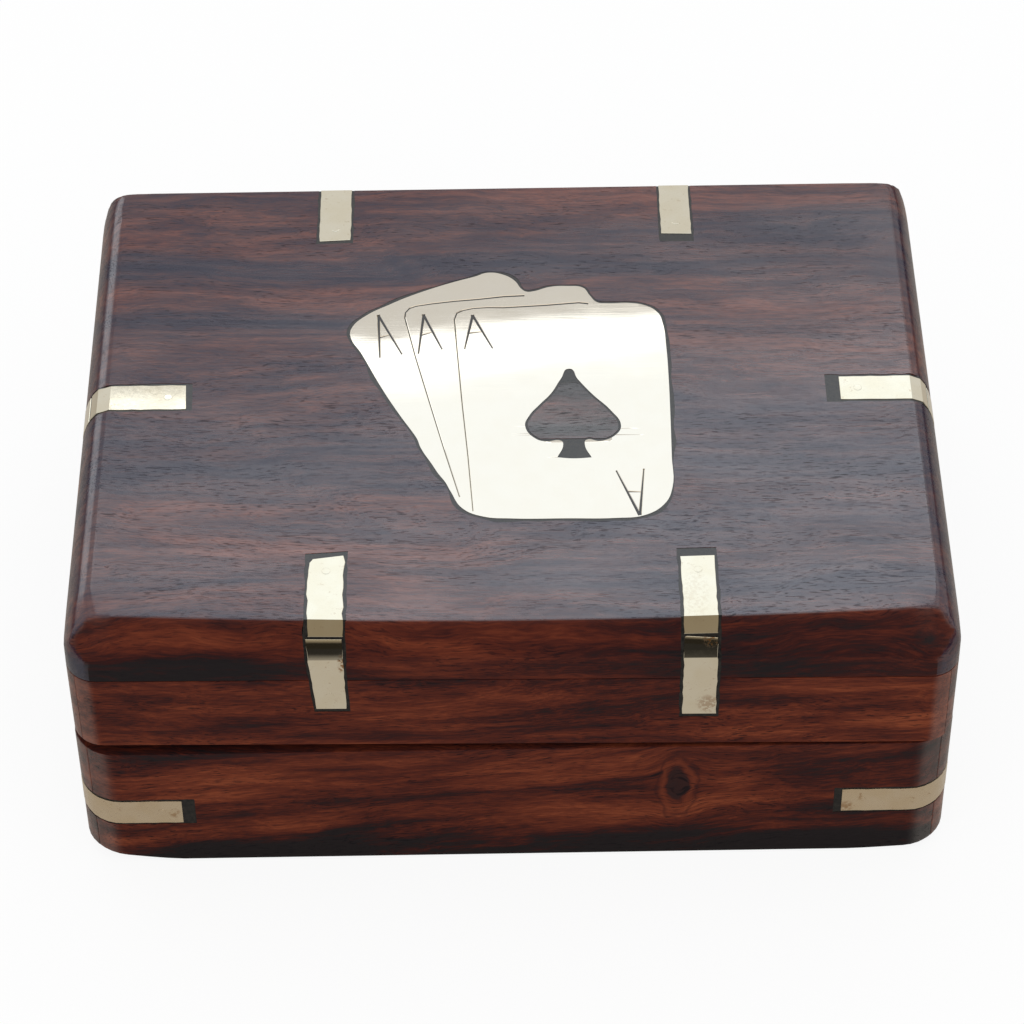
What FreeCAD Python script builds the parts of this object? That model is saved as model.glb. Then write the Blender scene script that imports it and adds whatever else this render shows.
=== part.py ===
import FreeCAD, Part
import math
import os
import types

import Sketcher

# A hinged box for two decks of playing cards. Rosewood with let-in brass, lengths in millimetres.
# Origin: centre of the underside. +X right, +Y to the hinges, +Z up. The lid is shown closed.

DRIVING_SIZES = (
    # the case
    ("box_width", 152.0, "outside width"),
    ("box_depth", 117.0, "outside depth, front to back"),
    ("base_height", 29.2, "height of the lower half"),
    ("lid_gap", 0.3, "gap between the two halves when closed"),
    ("rail_height", 16.8, "height of the frame under the top board"),
    ("board_height", 12.2, "thickness of the top board"),
    ("wall_thickness", 8.0, "thickness of the walls and rails"),
    ("base_corner_radius", 7.5, "rounding of the upright corners of the lower half"),
    ("lid_corner_radius", 5.5, "rounding of the upright corners of the lid"),
    # the bevel round the top board
    ("bevel_drop", 6.6, "height of the bevel"),
    ("side_bevel_run", 4.7, "width of the bevel at the left and right"),
    ("end_bevel_run", 3.5, "width of the bevel at the front and back"),
    # the inside
    ("floor_thickness", 5.0, "thickness of the floor panel"),
    ("floor_rabbet", 3.0, "how far the floor panel enters the walls"),
    ("floor_clearance", 0.1, "gap round the edge of the floor panel"),
    ("divider_thickness", 4.0, "thickness of the divider between the wells"),
    ("divider_housing", 2.0, "how far the divider enters the walls"),
    ("divider_clearance", 0.1, "gap round the divider in its housings"),
    ("divider_drop", 2.0, "top of the divider below the rim"),
    ("felt_thickness", 1.0, "thickness of the felt"),
    ("felt_clearance", 0.4, "gap round the edge of the felt"),
    # the straps over the edges of the lid
    ("strap_width", 6.0, "width of the strip"),
    ("strap_thickness", 1.0, "thickness of the strip"),
    ("strap_offset", 31.5, "front and back straps from the middle of the box"),
    ("strap_leg", 17.0, "end of the leg on the top, from the side of the box"),
    ("strap_drop", 19.0, "end of the leg on the side, below the top"),
    ("strap_split", 2.9, "end of the top leg, down the bevel from its crest"),
    ("strap_joint", 0.6, "gap between the two legs of a strap"),
    # the straps round the corners of the lower half
    ("corner_strap_level", 13.7, "height of the middle of the strip"),
    ("corner_strap_width", 5.8, "width of the strip"),
    ("corner_strap_leg", 18.0, "end of each leg, from the side of the box"),
    # the filler and the pins
    ("filler_side", 0.4, "filler along the long edges of the brass"),
    ("filler_end", 1.4, "filler past the ends of a strap"),
    ("pin_radius", 0.75, "radius of the brass pins"),
    ("pin_length", 5.0, "length of the brass pins"),
    ("pin_inset", 4.0, "pin from the end of its strap"),
    # the card emblem
    ("plate_thickness", 1.2, "thickness of the card plate"),
    ("card_corner", 3.2, "rounding of the corners of a card"),
    ("front_card_width", 36.6, "front card"),
    ("front_card_length", 53.6, "front card"),
    ("front_card_across", 10.0, "front card, centre from the middle of the box"),
    ("front_card_back", -3.9, "front card, centre towards the hinges"),
    ("front_card_turn", 1.5, "front card, degrees"),
    ("middle_card_width", 34.0, "middle card"),
    ("middle_card_length", 52.0, "middle card"),
    ("middle_card_across", 1.95, "middle card, centre from the middle of the box"),
    ("middle_card_back", 0.65, "middle card, centre towards the hinges"),
    ("middle_card_turn", 10.0, "middle card, degrees"),
    ("rear_card_width", 31.0, "rear card"),
    ("rear_card_length", 48.0, "rear card"),
    ("rear_card_across", -4.85, "rear card, centre from the middle of the box"),
    ("rear_card_back", 4.22, "rear card, centre towards the hinges"),
    ("rear_card_turn", 26.0, "rear card, degrees"),
    ("spade_across", 11.3, "spade, from the middle of the box"),
    ("spade_back", -8.4, "spade, middle of the lobes, towards the hinges"),
    ("spade_lobe_radius", 3.8, "radius of a lobe"),
    ("spade_lobe_offset", 4.6, "centre of a lobe from the middle of the spade"),
    ("spade_tip", 14.6, "point, from the middle of the lobes"),
    ("spade_foot", 7.7, "underside of the foot, from the middle of the lobes"),
    ("spade_foot_width", 6.0, "width of the foot"),
    ("spade_stem_width", 3.8, "width of the stem"),
    # the hinges
    ("hinge_offset", 46.0, "middle of a hinge from the middle of the box"),
    ("hinge_length", 22.0, "length of a hinge"),
    ("hinge_inset", 1.0, "pin of the hinge inside the back of the box"),
    ("hinge_chamfer", 1.1, "chamfer on the back edges, which stops the open lid"),
    ("leaf_width", 6.0, "edge of a leaf from the pin"),
    ("leaf_thickness", 1.0, "thickness of a leaf"),
    ("leaf_clearance", 0.1, "gap round a leaf in its mortise"),
    ("barrel_radius", 1.6, "radius of the knuckles"),
    ("barrel_clearance", 0.25, "gap round the knuckles"),
    ("knuckle_gap", 0.2, "gap between two knuckles"),
    ("hinge_pin_radius", 0.8, "radius of the hinge pin"),
    ("hinge_pin_clearance", 0.05, "gap round the hinge pin"),
    ("hinge_pin_stand", 0.3, "hinge pin past the ends of the knuckles"),
    ("screw_inset", 3.9, "screws from the hinge pin"),
    ("screw_spacing", 12.0, "distance between the two screws of a leaf"),
    ("screw_length", 6.0, "length of a screw"),
    ("screw_point", 1.4, "length of a screw's point"),
    ("screw_shank_radius", 0.7, "radius of a screw's shank"),
    ("screw_head_radius", 1.3, "radius of a screw's head"),
    ("screw_head_height", 0.7, "height of a screw's head"),
    ("screw_slot_width", 0.4, "width of a screw's slot"),
    ("screw_slot_depth", 0.3, "depth of a screw's slot"),
)

# How far a cutting solid stands past the surface that it cuts through.
CUT_MARGIN = 2.0
# How far a bevel's cutting wedge follows its slope past each edge, as a share of the bevel.
BEVEL_OVERRUN = 0.3
# Where the flanks of the spade leave its lobes, as shares of a lobe's radius.
SPADE_SHOULDER_OUT = 0.82
SPADE_SHOULDER_UP = 0.57
SPADE_LOBE_LOW = 0.98
SPADE_STEM_TOP = 0.9


class Size:
    """A length that carries its number and the expression that ties it to the sheet."""

    def __init__(self, number, text):
        self.number = number
        self.text = text

    def __add__(self, other):
        other = as_size(other)
        return Size(self.number + other.number, f"({self.text} + {other.text})")

    def __sub__(self, other):
        other = as_size(other)
        return Size(self.number - other.number, f"({self.text} - {other.text})")

    def __mul__(self, other):
        other = as_size(other)
        return Size(self.number * other.number, f"({self.text} * {other.text})")

    def __truediv__(self, other):
        other = as_size(other)
        return Size(self.number / other.number, f"({self.text} / {other.text})")

    def __neg__(self):
        return self * -1


def as_size(value):
    """A plain number becomes a Size whose expression is that number."""
    if isinstance(value, Size):
        return value
    return Size(float(value), f"({float(value)})")


def diagonal(run, rise):
    """The length of a slope from its run and its rise."""
    number = math.hypot(run.number, rise.number)
    return Size(number, f"sqrt({run.text} * {run.text} + {rise.text} * {rise.text})")


doc = FreeCAD.newDocument("playing_card_box")
sheet = doc.addObject("Spreadsheet::Sheet", "sizes")
size = types.SimpleNamespace()
for row, (alias, number, meaning) in enumerate(DRIVING_SIZES, start=1):
    sheet.set(f"A{row}", alias)
    sheet.set(f"B{row}", str(number))
    sheet.setAlias(f"B{row}", alias)
    sheet.set(f"C{row}", meaning)
    setattr(size, alias, Size(number, f"sizes.{alias}"))
doc.recompute()

half_width = size.box_width / 2
half_depth = size.box_depth / 2
lid_bottom = size.base_height + size.lid_gap
seam_level = lid_bottom + size.rail_height
top_level = seam_level + size.board_height
inner_half_width = half_width - size.wall_thickness
inner_half_depth = half_depth - size.wall_thickness

nodes = {}


# ---- Helpers: features whose sizes are tied to the sheet ----


def keep(label, obj):
    """Name an object as a piece of the box."""
    obj.Label = label
    nodes[label] = obj
    return obj


def tie(obj, prop, value):
    """Bind one property of an object to a size."""
    obj.setExpression(prop, as_size(value).text)


def place(obj, x, y, z, rotation=None):
    """Put an object at a point, with its coordinates tied to the sheet."""
    point = [as_size(value) for value in (x, y, z)]
    base = FreeCAD.Vector(*[value.number for value in point])
    obj.Placement = FreeCAD.Placement(base, rotation or FreeCAD.Rotation())
    for axis, value in zip("xyz", point):
        tie(obj, f"Placement.Base.{axis}", value)
    return obj


def new_body(label):
    body = doc.addObject("PartDesign::Body", label)
    body.Label = label
    return body


def new_sketch(body, plane, start=0.0):
    """A sketch on one of the body's own planes, moved along the plane's normal by start."""
    sketch = body.newObject("Sketcher::SketchObject", body.Name + "_sketch")
    support = [item for item in body.Origin.OriginFeatures if item.Role == plane][0]
    sketch.AttachmentSupport = [(support, "")]
    sketch.MapMode = "FlatFace"
    tie(sketch, "AttachmentOffset.Base.z", start)
    return sketch


def fix_point(sketch, edge, end, x, y):
    """Hold one end of a sketch edge at x, y from the sketch's origin."""
    for kind, value in (("DistanceX", as_size(x)), ("DistanceY", as_size(y))):
        index = sketch.addConstraint(
            Sketcher.Constraint(kind, -1, 1, edge, end, value.number)
        )
        tie(sketch, f"Constraints[{index}]", value)


def draw_polygon(sketch, corners):
    """A closed outline of straight edges through the given corners."""
    corners = [(as_size(x), as_size(y)) for x, y in corners]
    points = [FreeCAD.Vector(x.number, y.number, 0) for x, y in corners]
    count = len(points)
    for index in range(count):
        edge = Part.LineSegment(points[index], points[(index + 1) % count])
        sketch.addGeometry(edge, False)
    for index, (x, y) in enumerate(corners):
        sketch.addConstraint(
            Sketcher.Constraint("Coincident", index - 1 if index else count - 1, 2, index, 1)
        )
        fix_point(sketch, index, 1, x, y)


def draw_rounded_rectangle(sketch, width, length, radius):
    """A rectangle about the sketch's origin with four equal round corners."""
    half_x, half_y, r = width.number / 2, length.number / 2, radius.number
    quarter = math.pi / 2
    corners = ((-1, -1, 2), (1, -1, 3), (1, 1, 0), (-1, 1, 1))
    for sign_x, sign_y, turn in corners:
        centre = FreeCAD.Vector(sign_x * (half_x - r), sign_y * (half_y - r), 0)
        circle = Part.Circle(centre, FreeCAD.Vector(0, 0, 1), r)
        arc = Part.ArcOfCircle(circle, turn * quarter, (turn + 1) * quarter)
        sketch.addGeometry(arc, False)
    ends = (
        ((-half_x + r, -half_y), (half_x - r, -half_y)),
        ((half_x, -half_y + r), (half_x, half_y - r)),
        ((half_x - r, half_y), (-half_x + r, half_y)),
        ((-half_x, half_y - r), (-half_x, -half_y + r)),
    )
    for start, end in ends:
        line = Part.LineSegment(FreeCAD.Vector(*start, 0), FreeCAD.Vector(*end, 0))
        sketch.addGeometry(line, False)
    for arc in range(4):
        line_after, line_before = 4 + arc, 4 + (arc - 1) % 4
        sketch.addConstraint(Sketcher.Constraint("Tangent", arc, 2, line_after, 1))
        sketch.addConstraint(Sketcher.Constraint("Tangent", line_before, 2, arc, 1))
        if arc:
            sketch.addConstraint(Sketcher.Constraint("Equal", 0, arc))
    sketch.addConstraint(Sketcher.Constraint("Horizontal", 4))
    sketch.addConstraint(Sketcher.Constraint("Vertical", 5))
    sketch.addConstraint(Sketcher.Constraint("Radius", 0, r))
    tie(sketch, f"Constraints[{sketch.ConstraintCount - 1}]", radius)
    fix_point(sketch, 4, 1, radius - width / 2, -(length / 2))
    fix_point(sketch, 6, 1, width / 2 - radius, length / 2)


def add_pad(body, sketch, height, symmetric=False):
    pad = body.newObject("PartDesign::Pad", body.Name + "_pad")
    pad.Profile = sketch
    if symmetric:
        pad.SideType = "Symmetric"
    tie(pad, "Length", height)
    return body


def prism(label, corners, start, height):
    """An upright prism over a plan outline."""
    body = new_body(label)
    sketch = new_sketch(body, "XY_Plane", start)
    draw_polygon(sketch, corners)
    return add_pad(body, sketch, height)


def rounded_block(label, width, length, radius, start, height):
    """An upright block with round corners, about the body's own origin."""
    body = new_body(label)
    sketch = new_sketch(body, "XY_Plane", start)
    draw_rounded_rectangle(sketch, width, length, radius)
    return add_pad(body, sketch, height)


def slab_along_y(label, corners, width):
    """A slab of the given width along Y, whose outline lies in the XZ plane."""
    body = new_body(label)
    sketch = new_sketch(body, "XZ_Plane")
    draw_polygon(sketch, corners)
    return add_pad(body, sketch, width, symmetric=True)


def box(label, low, high):
    """A plain block between two opposite corners."""
    block = doc.addObject("Part::Box", label)
    block.Label = label
    for prop, start, end in zip(("Length", "Width", "Height"), low, high):
        tie(block, prop, as_size(end) - start)
    return place(block, *low)


def cylinder(label, radius, length, start, direction):
    """A cylinder from a point along a direction."""
    rod = doc.addObject("Part::Cylinder", label)
    rod.Label = label
    tie(rod, "Radius", radius)
    tie(rod, "Height", length)
    turn = FreeCAD.Rotation(FreeCAD.Vector(0, 0, 1), FreeCAD.Vector(*direction))
    return place(rod, *start, turn)


def pair(kind, label, base, tool):
    result = doc.addObject(kind, label)
    result.Label = label
    result.Base = base
    result.Tool = tool
    return result


def cut(label, base, tool):
    return pair("Part::Cut", label, base, tool)


def common(label, base, tool):
    return pair("Part::Common", label, base, tool)


def fuse(label, shapes):
    result = doc.addObject("Part::MultiFuse", label)
    result.Label = label
    result.Shapes = shapes
    return result


def group(label, shapes):
    result = doc.addObject("Part::Compound", label)
    result.Label = label
    result.Links = shapes
    return result


def pin(label, start, direction):
    """A brass pin from its buried end outwards."""
    return cylinder(label, size.pin_radius, size.pin_length, start, direction)


# ---- Sides and corners of the box ----

# Each side: the way out of the box, the turn from +X to it, its reach and its bevel.
SIDES = {
    "front": ((0, -1), -90, half_depth, size.end_bevel_run),
    "right": ((1, 0), 0, half_width, size.side_bevel_run),
    "back": ((0, 1), 90, half_depth, size.end_bevel_run),
    "left": ((-1, 0), 180, half_width, size.side_bevel_run),
}
CORNERS = {
    "front_left": (-1, -1),
    "front_right": (1, -1),
    "back_right": (1, 1),
    "back_left": (-1, 1),
}
# Each lid strap: its side and its place along that side.
LID_STRAPS = {
    "front_left": ("front", -size.strap_offset, 0),
    "front_right": ("front", size.strap_offset, 0),
    "right": ("right", 0, 0),
    "back_right": ("back", size.strap_offset, 0),
    "back_left": ("back", -size.strap_offset, 0),
    "left": ("left", 0, 0),
}


def mitred_frame(names, block, start, height):
    """Four walls cut from one block, each with its ends mitred at 45 degrees."""
    signs = list(CORNERS.values())
    outer = [(half_width * sx, half_depth * sy) for sx, sy in signs]
    inner = [(inner_half_width * sx, inner_half_depth * sy) for sx, sy in signs]
    walls = {}
    for index, (side, label) in enumerate(names.items()):
        after = (index + 1) % 4
        corners = [outer[index], outer[after], inner[after], inner[index]]
        wedge = prism(label + "_mitres", corners, start, height)
        walls[label] = common(label + "_blank", block, wedge)
    return walls


# ---- Straps over the edges of the lid ----


def strap_outlines(reach, run):
    """Side outlines of the two legs, of the pocket and of its cutter: x outwards, z up."""
    thick = size.strap_thickness
    drop = size.bevel_drop
    slope = diagonal(run, drop)
    crest = (reach - run, top_level)
    arris = (reach, top_level - drop)
    # The inner corners lie on the bisectors of the outer ones, a thickness in.
    crest_in = (crest[0] - thick * (slope - run) / drop, top_level - thick)
    arris_in = (reach - thick, arris[1] - thick * (slope - drop) / run)

    def on_bevel(distance, depth):
        x = crest[0] + (run * distance - drop * depth) / slope
        z = crest[1] - (drop * distance + run * depth) / slope
        return (x, z)

    top_end = reach - size.strap_leg
    low_end = top_level - size.strap_drop
    split = size.strap_split
    restart = split + size.strap_joint
    top_leg = [
        (top_end, top_level),
        crest,
        on_bevel(split, 0),
        on_bevel(split, thick),
        crest_in,
        (top_end, top_level - thick),
    ]
    side_leg = [
        on_bevel(restart, 0),
        arris,
        (reach, low_end),
        (reach - thick, low_end),
        arris_in,
        on_bevel(restart, thick),
    ]
    pocket_top = top_end - size.filler_end
    pocket_low = low_end - size.filler_end
    inside = [
        (reach - thick, pocket_low),
        arris_in,
        crest_in,
        (pocket_top, top_level - thick),
    ]
    pocket = [(pocket_top, top_level), crest, arris, (reach, pocket_low)] + inside
    outside = [
        (pocket_top, top_level + CUT_MARGIN),
        (reach + CUT_MARGIN, top_level + CUT_MARGIN),
        (reach + CUT_MARGIN, pocket_low),
    ]
    return top_leg, side_leg, pocket, outside + inside


def lid_straps():
    """Both legs of every lid strap, their pins, the pockets and the cutters for them."""
    legs, pins, pockets, cutters = [], [], [], []
    for name, (side, x, y) in LID_STRAPS.items():
        (out_x, out_y), angle, reach, run = SIDES[side]
        turn = FreeCAD.Rotation(FreeCAD.Vector(0, 0, 1), angle)
        top_leg, side_leg, pocket, cutter = strap_outlines(reach, run)
        pocket_width = size.strap_width + size.filler_side * 2
        top_strip = slab_along_y(f"{name}_top_strip", top_leg, size.strap_width)
        side_strip = slab_along_y(f"{name}_side_strip", side_leg, size.strap_width)
        strap_pocket = slab_along_y(f"{name}_strap_pocket", pocket, pocket_width)
        strap_cutter = slab_along_y(f"{name}_strap_cutter", cutter, pocket_width)
        for strip in (top_strip, side_strip, strap_pocket, strap_cutter):
            place(strip, x, y, 0, turn)
        legs.append((f"{name}_strap_top_leg", top_strip))
        legs.append((f"{name}_strap_side_leg", side_strip))
        pockets.append(strap_pocket)
        cutters.append(strap_cutter)
        across = reach - size.strap_leg + size.pin_inset
        top_pin = (across * out_x + x, across * out_y + y, top_level - size.pin_length)
        pins.append(pin(f"{name}_top_pin", top_pin, (0, 0, 1)))
        depth = reach - size.pin_length
        level = top_level - size.strap_drop + size.pin_inset
        side_pin = (depth * out_x + x, depth * out_y + y, level)
        pins.append(pin(f"{name}_side_pin", side_pin, (out_x, out_y, 0)))
    return legs, pins, pockets, cutters


# ---- Straps round the corners of the lower half ----


def corner_region(label, sign_x, sign_y, leg, height):
    """A block at one corner, as far in as the strap's legs reach and as high as given."""
    low_z = size.corner_strap_level - height / 2
    high_z = size.corner_strap_level + height / 2
    near_x, far_x = half_width - leg, half_width + CUT_MARGIN
    near_y, far_y = half_depth - leg, half_depth + CUT_MARGIN
    x_low, x_high = (near_x, far_x) if sign_x > 0 else (-far_x, -near_x)
    y_low, y_high = (near_y, far_y) if sign_y > 0 else (-far_y, -near_y)
    return box(label, (x_low, y_low, low_z), (x_high, y_high, high_z))


def corner_straps(block, core):
    """Every corner strap, its pins, its pocket and the cutter for it."""
    straps, pins, pockets, cutters = [], [], [], []
    skin = cut("base_skin", block, core)
    leg, width = size.corner_strap_leg, size.corner_strap_width
    room_leg, room_width = leg + size.filler_end, width + size.filler_side * 2
    for name, (sign_x, sign_y) in CORNERS.items():
        region = corner_region(f"{name}_strap_region", sign_x, sign_y, leg, width)
        straps.append((f"{name}_corner_strap", common(f"{name}_corner_strip", skin, region)))
        room = corner_region(f"{name}_pocket_region", sign_x, sign_y, room_leg, room_width)
        pockets.append(common(f"{name}_corner_pocket", skin, room))
        cutters.append(cut(f"{name}_corner_cutter", room, core))
        inset = leg - size.pin_inset
        level = size.corner_strap_level
        end_pin = ((half_width - inset) * sign_x, (half_depth - size.pin_length) * sign_y, level)
        side_pin = ((half_width - size.pin_length) * sign_x, (half_depth - inset) * sign_y, level)
        pins.append(pin(f"{name}_corner_end_pin", end_pin, (0, sign_y, 0)))
        pins.append(pin(f"{name}_corner_side_pin", side_pin, (sign_x, 0, 0)))
    return straps, pins, pockets, cutters


# ---- The card emblem in the top board ----


def card(name, margin, label):
    """One card of the fan, grown all round by a margin."""
    width = getattr(size, f"{name}_card_width") + margin * 2
    length = getattr(size, f"{name}_card_length") + margin * 2
    across = getattr(size, f"{name}_card_across")
    back = getattr(size, f"{name}_card_back")
    turn = getattr(size, f"{name}_card_turn")
    corner = size.card_corner + margin
    start = top_level - size.plate_thickness
    blank = rounded_block(label, width, length, corner, start, size.plate_thickness)
    place(blank, across, back, 0, FreeCAD.Rotation(FreeCAD.Vector(0, 0, 1), turn.number))
    blank.setExpression("Placement.Rotation.Angle", f"{turn.text} * 1 deg")
    return blank


def card_fan(label, margin):
    """The three overlapping cards as one solid."""
    cards = [card(name, margin, f"{label}_{name}") for name in ("front", "middle", "rear")]
    return fuse(label, cards)


def spade(label, margin):
    """A spade of two lobes, a point and a foot, grown all round by a margin."""
    start = top_level - size.plate_thickness
    lobe = size.spade_lobe_radius + margin
    offset = size.spade_lobe_offset
    shoulder = offset + lobe * SPADE_SHOULDER_OUT
    stem = size.spade_stem_width / 2 + margin
    foot = size.spade_foot_width / 2 + margin
    half = [
        (0, size.spade_tip + margin),
        (shoulder, lobe * SPADE_SHOULDER_UP),
        (offset, -(lobe * SPADE_LOBE_LOW)),
        (stem, -(lobe * SPADE_STEM_TOP)),
        (foot, -(size.spade_foot + margin)),
    ]
    mirrored = [(-as_size(x), y) for x, y in reversed(half[1:])]
    outline = prism(label + "_outline", half + mirrored, start, size.plate_thickness)
    place(outline, size.spade_across, size.spade_back, 0)
    lobes = []
    for sign in (-1, 1):
        centre = (size.spade_across + offset * sign, size.spade_back, start)
        lobes.append(cylinder(f"{label}_lobe", lobe, size.plate_thickness, centre, (0, 0, 1)))
    return fuse(label, [outline] + lobes)


# ---- The hinges ----

pin_y = half_depth - size.hinge_inset
pin_z = size.base_height + size.lid_gap / 2


def along_x(label, radius, start_x, end_x):
    """A cylinder on the hinge line between two places along it."""
    return cylinder(label, radius, end_x - start_x, (start_x, pin_y, pin_z), (1, 0, 0))


def screw(label, x, y, z, head_up):
    """A countersunk screw and the blank it is cut from. The head's face is at z."""
    body = new_body(label + "_blank")
    sketch = new_sketch(body, "XZ_Plane")
    shank = size.screw_shank_radius
    profile = [
        (0, 0),
        (size.screw_head_radius, 0),
        (shank, -size.screw_head_height),
        (shank, size.screw_point - size.screw_length),
        (0, -size.screw_length),
    ]
    draw_polygon(sketch, profile)
    turning = body.newObject("PartDesign::Revolution", body.Name + "_turning")
    turning.Profile = sketch
    turning.ReferenceAxis = (sketch, ["V_Axis"])
    turning.Angle = 360.0
    flip = FreeCAD.Rotation(FreeCAD.Vector(1, 0, 0), 0 if head_up else 180)
    place(body, x, y, z, flip)
    reach = size.screw_head_radius
    slot_half = size.screw_slot_width / 2
    low, high = (z - size.screw_slot_depth, z) if head_up else (z, z + size.screw_slot_depth)
    slot = box(label + "_slot", (x - reach, y - slot_half, low), (x + reach, y + slot_half, high))
    return body, cut(label, body, slot)


def hinge_leaf(label, centre, own_knuckles, low, high, blanks):
    """One leaf with its knuckles, bored for the pin and for its screws."""
    half = size.hinge_length / 2
    near_corner = (centre - half, pin_y - size.leaf_width, low)
    plate = box(label + "_plate", near_corner, (centre + half, pin_y, high))
    knuckle = (size.hinge_length - size.knuckle_gap * 2) / 3
    pitch = knuckle + size.knuckle_gap
    barrels, rooms = [], []
    for index in range(3):
        start = centre - half + pitch * index
        if index in own_knuckles:
            barrels.append(along_x(f"{label}_barrel", size.barrel_radius, start, start + knuckle))
        else:
            room_start = start - size.knuckle_gap
            room_end = start + pitch
            room = size.barrel_radius + size.barrel_clearance
            rooms.append(along_x(f"{label}_room", room, room_start, room_end))
    bore = size.hinge_pin_radius + size.hinge_pin_clearance
    bore_reach = half + CUT_MARGIN
    rooms.append(along_x(f"{label}_bore", bore, centre - bore_reach, centre + bore_reach))
    solid = fuse(label + "_solid", [plate] + barrels)
    return cut(label, solid, fuse(label + "_openings", rooms + blanks))


def hinge_mortise(label, centre, low, high):
    """The room for a leaf and for the barrel in one half of the box."""
    half = size.hinge_length / 2 + size.leaf_clearance
    deep = pin_y - size.leaf_width - size.leaf_clearance
    far_corner = (centre + half, half_depth + CUT_MARGIN, high)
    seat = box(label + "_seat", (centre - half, deep, low), far_corner)
    stand = size.hinge_length / 2 + size.hinge_pin_stand + size.barrel_clearance
    room = size.barrel_radius + size.barrel_clearance
    return fuse(label, [seat, along_x(label + "_barrel", room, centre - stand, centre + stand)])


def back_chamfer(label, edge_level, direction):
    """The wedge that takes the back edge off one half, so that the lid can tip back."""
    run = size.hinge_chamfer
    far = half_width + CUT_MARGIN
    start_y, end_y = half_depth - run, half_depth + CUT_MARGIN
    leg = run + CUT_MARGIN
    body = new_body(label)
    sketch = new_sketch(body, "YZ_Plane")
    corners = [(start_y, edge_level), (end_y, edge_level), (end_y, edge_level + leg * direction)]
    draw_polygon(sketch, corners)
    return add_pad(body, sketch, far * 2, symmetric=True)


# ---- The lower half ----

base_block = rounded_block(
    "base_block", size.box_width, size.box_depth, size.base_corner_radius, 0, size.base_height
)
base_core = rounded_block(
    "base_core",
    size.box_width - size.strap_thickness * 2,
    size.box_depth - size.strap_thickness * 2,
    size.base_corner_radius - size.strap_thickness,
    0,
    size.base_height,
)
base_strips, base_pins, base_pockets, base_cutters = corner_straps(base_block, base_core)

floor_half_width = inner_half_width + size.floor_rabbet
floor_half_depth = inner_half_depth + size.floor_rabbet
floor_fit = size.floor_clearance
keep(
    "base_floor",
    box(
        "base_floor",
        (-floor_half_width, -floor_half_depth, 0),
        (floor_half_width, floor_half_depth, size.floor_thickness),
    ),
)
floor_cutter = box(
    "floor_cutter",
    (-floor_half_width - floor_fit, -floor_half_depth - floor_fit, -CUT_MARGIN),
    (floor_half_width + floor_fit, floor_half_depth + floor_fit, size.floor_thickness),
)

divider_half = size.divider_thickness / 2
divider_reach = inner_half_depth + size.divider_housing
divider_fit = size.divider_clearance
keep(
    "card_divider",
    box(
        "card_divider",
        (-divider_half, -divider_reach, size.floor_thickness),
        (divider_half, divider_reach, size.base_height - size.divider_drop),
    ),
)
divider_cutter = box(
    "divider_cutter",
    (-divider_half - divider_fit, -divider_reach - divider_fit, size.floor_thickness),
    (divider_half + divider_fit, divider_reach + divider_fit, size.base_height + CUT_MARGIN),
)

# ---- Hinges and their screws, two of each ----

leaf_levels = {
    "base": (size.base_height - size.leaf_thickness, size.base_height, (0, 2), True),
    "lid": (lid_bottom, lid_bottom + size.leaf_thickness, (1,), False),
}
mortise_levels = {
    "base": (size.base_height - size.leaf_thickness, size.base_height + CUT_MARGIN),
    "lid": (lid_bottom - CUT_MARGIN, lid_bottom + size.leaf_thickness),
}
screws = {"base": [], "lid": []}
hinge_cutters = {"base": [], "lid": []}
for hinge_side, sign in (("left", -1), ("right", 1)):
    hinge_centre = size.hinge_offset * sign
    pin_reach = size.hinge_length / 2 + size.hinge_pin_stand
    for half_name, (low, high, own_knuckles, head_up) in leaf_levels.items():
        blanks = []
        for screw_sign in (-1, 1):
            screw_x = hinge_centre + size.screw_spacing / 2 * screw_sign
            screw_y = pin_y - size.screw_inset
            screw_z = high if head_up else low
            blank, finished = screw(
                f"{hinge_side}_{half_name}_screw_{screw_sign + 2}", screw_x, screw_y, screw_z, head_up
            )
            blanks.append(blank)
            screws[half_name].append(finished)
        hinge_cutters[half_name] += blanks
        leaf_name = f"hinge_{hinge_side}_{half_name}_leaf"
        keep(leaf_name, hinge_leaf(leaf_name, hinge_centre, own_knuckles, low, high, blanks))
        mortise_low, mortise_high = mortise_levels[half_name]
        hinge_cutters[half_name].append(
            hinge_mortise(f"{hinge_side}_{half_name}_mortise", hinge_centre, mortise_low, mortise_high)
        )
    pin_name = f"hinge_{hinge_side}_pin"
    keep(
        pin_name,
        along_x(pin_name, size.hinge_pin_radius, hinge_centre - pin_reach, hinge_centre + pin_reach),
    )
keep("hinge_screws_base", group("hinge_screws_base", screws["base"]))
keep("hinge_screws_lid", group("hinge_screws_lid", screws["lid"]))

# ---- Walls of the lower half ----

base_wood_cutter = fuse(
    "base_wood_cutter",
    base_cutters
    + base_pins
    + [floor_cutter, divider_cutter, back_chamfer("base_back_chamfer", size.base_height, -1)]
    + hinge_cutters["base"],
)
base_names = {side: f"base_{side}_wall" for side in SIDES}
for label, blank in mitred_frame(base_names, base_block, 0, size.base_height).items():
    keep(label, cut(label, blank, base_wood_cutter))

base_pin_group = keep("base_strap_pins", group("base_strap_pins", base_pins))
for label, strip in base_strips:
    keep(label, cut(label, strip, base_pin_group))
base_strip_group = fuse("base_strip_group", [strip for label, strip in base_strips])
base_pocket_group = group("base_pocket_group", base_pockets)
keep("base_inlay_filler", cut("base_inlay_filler", base_pocket_group, base_strip_group))

# ---- Felt in the two card wells and under the top board ----
# Each felt ends a clearance short of what stands round it.

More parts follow.
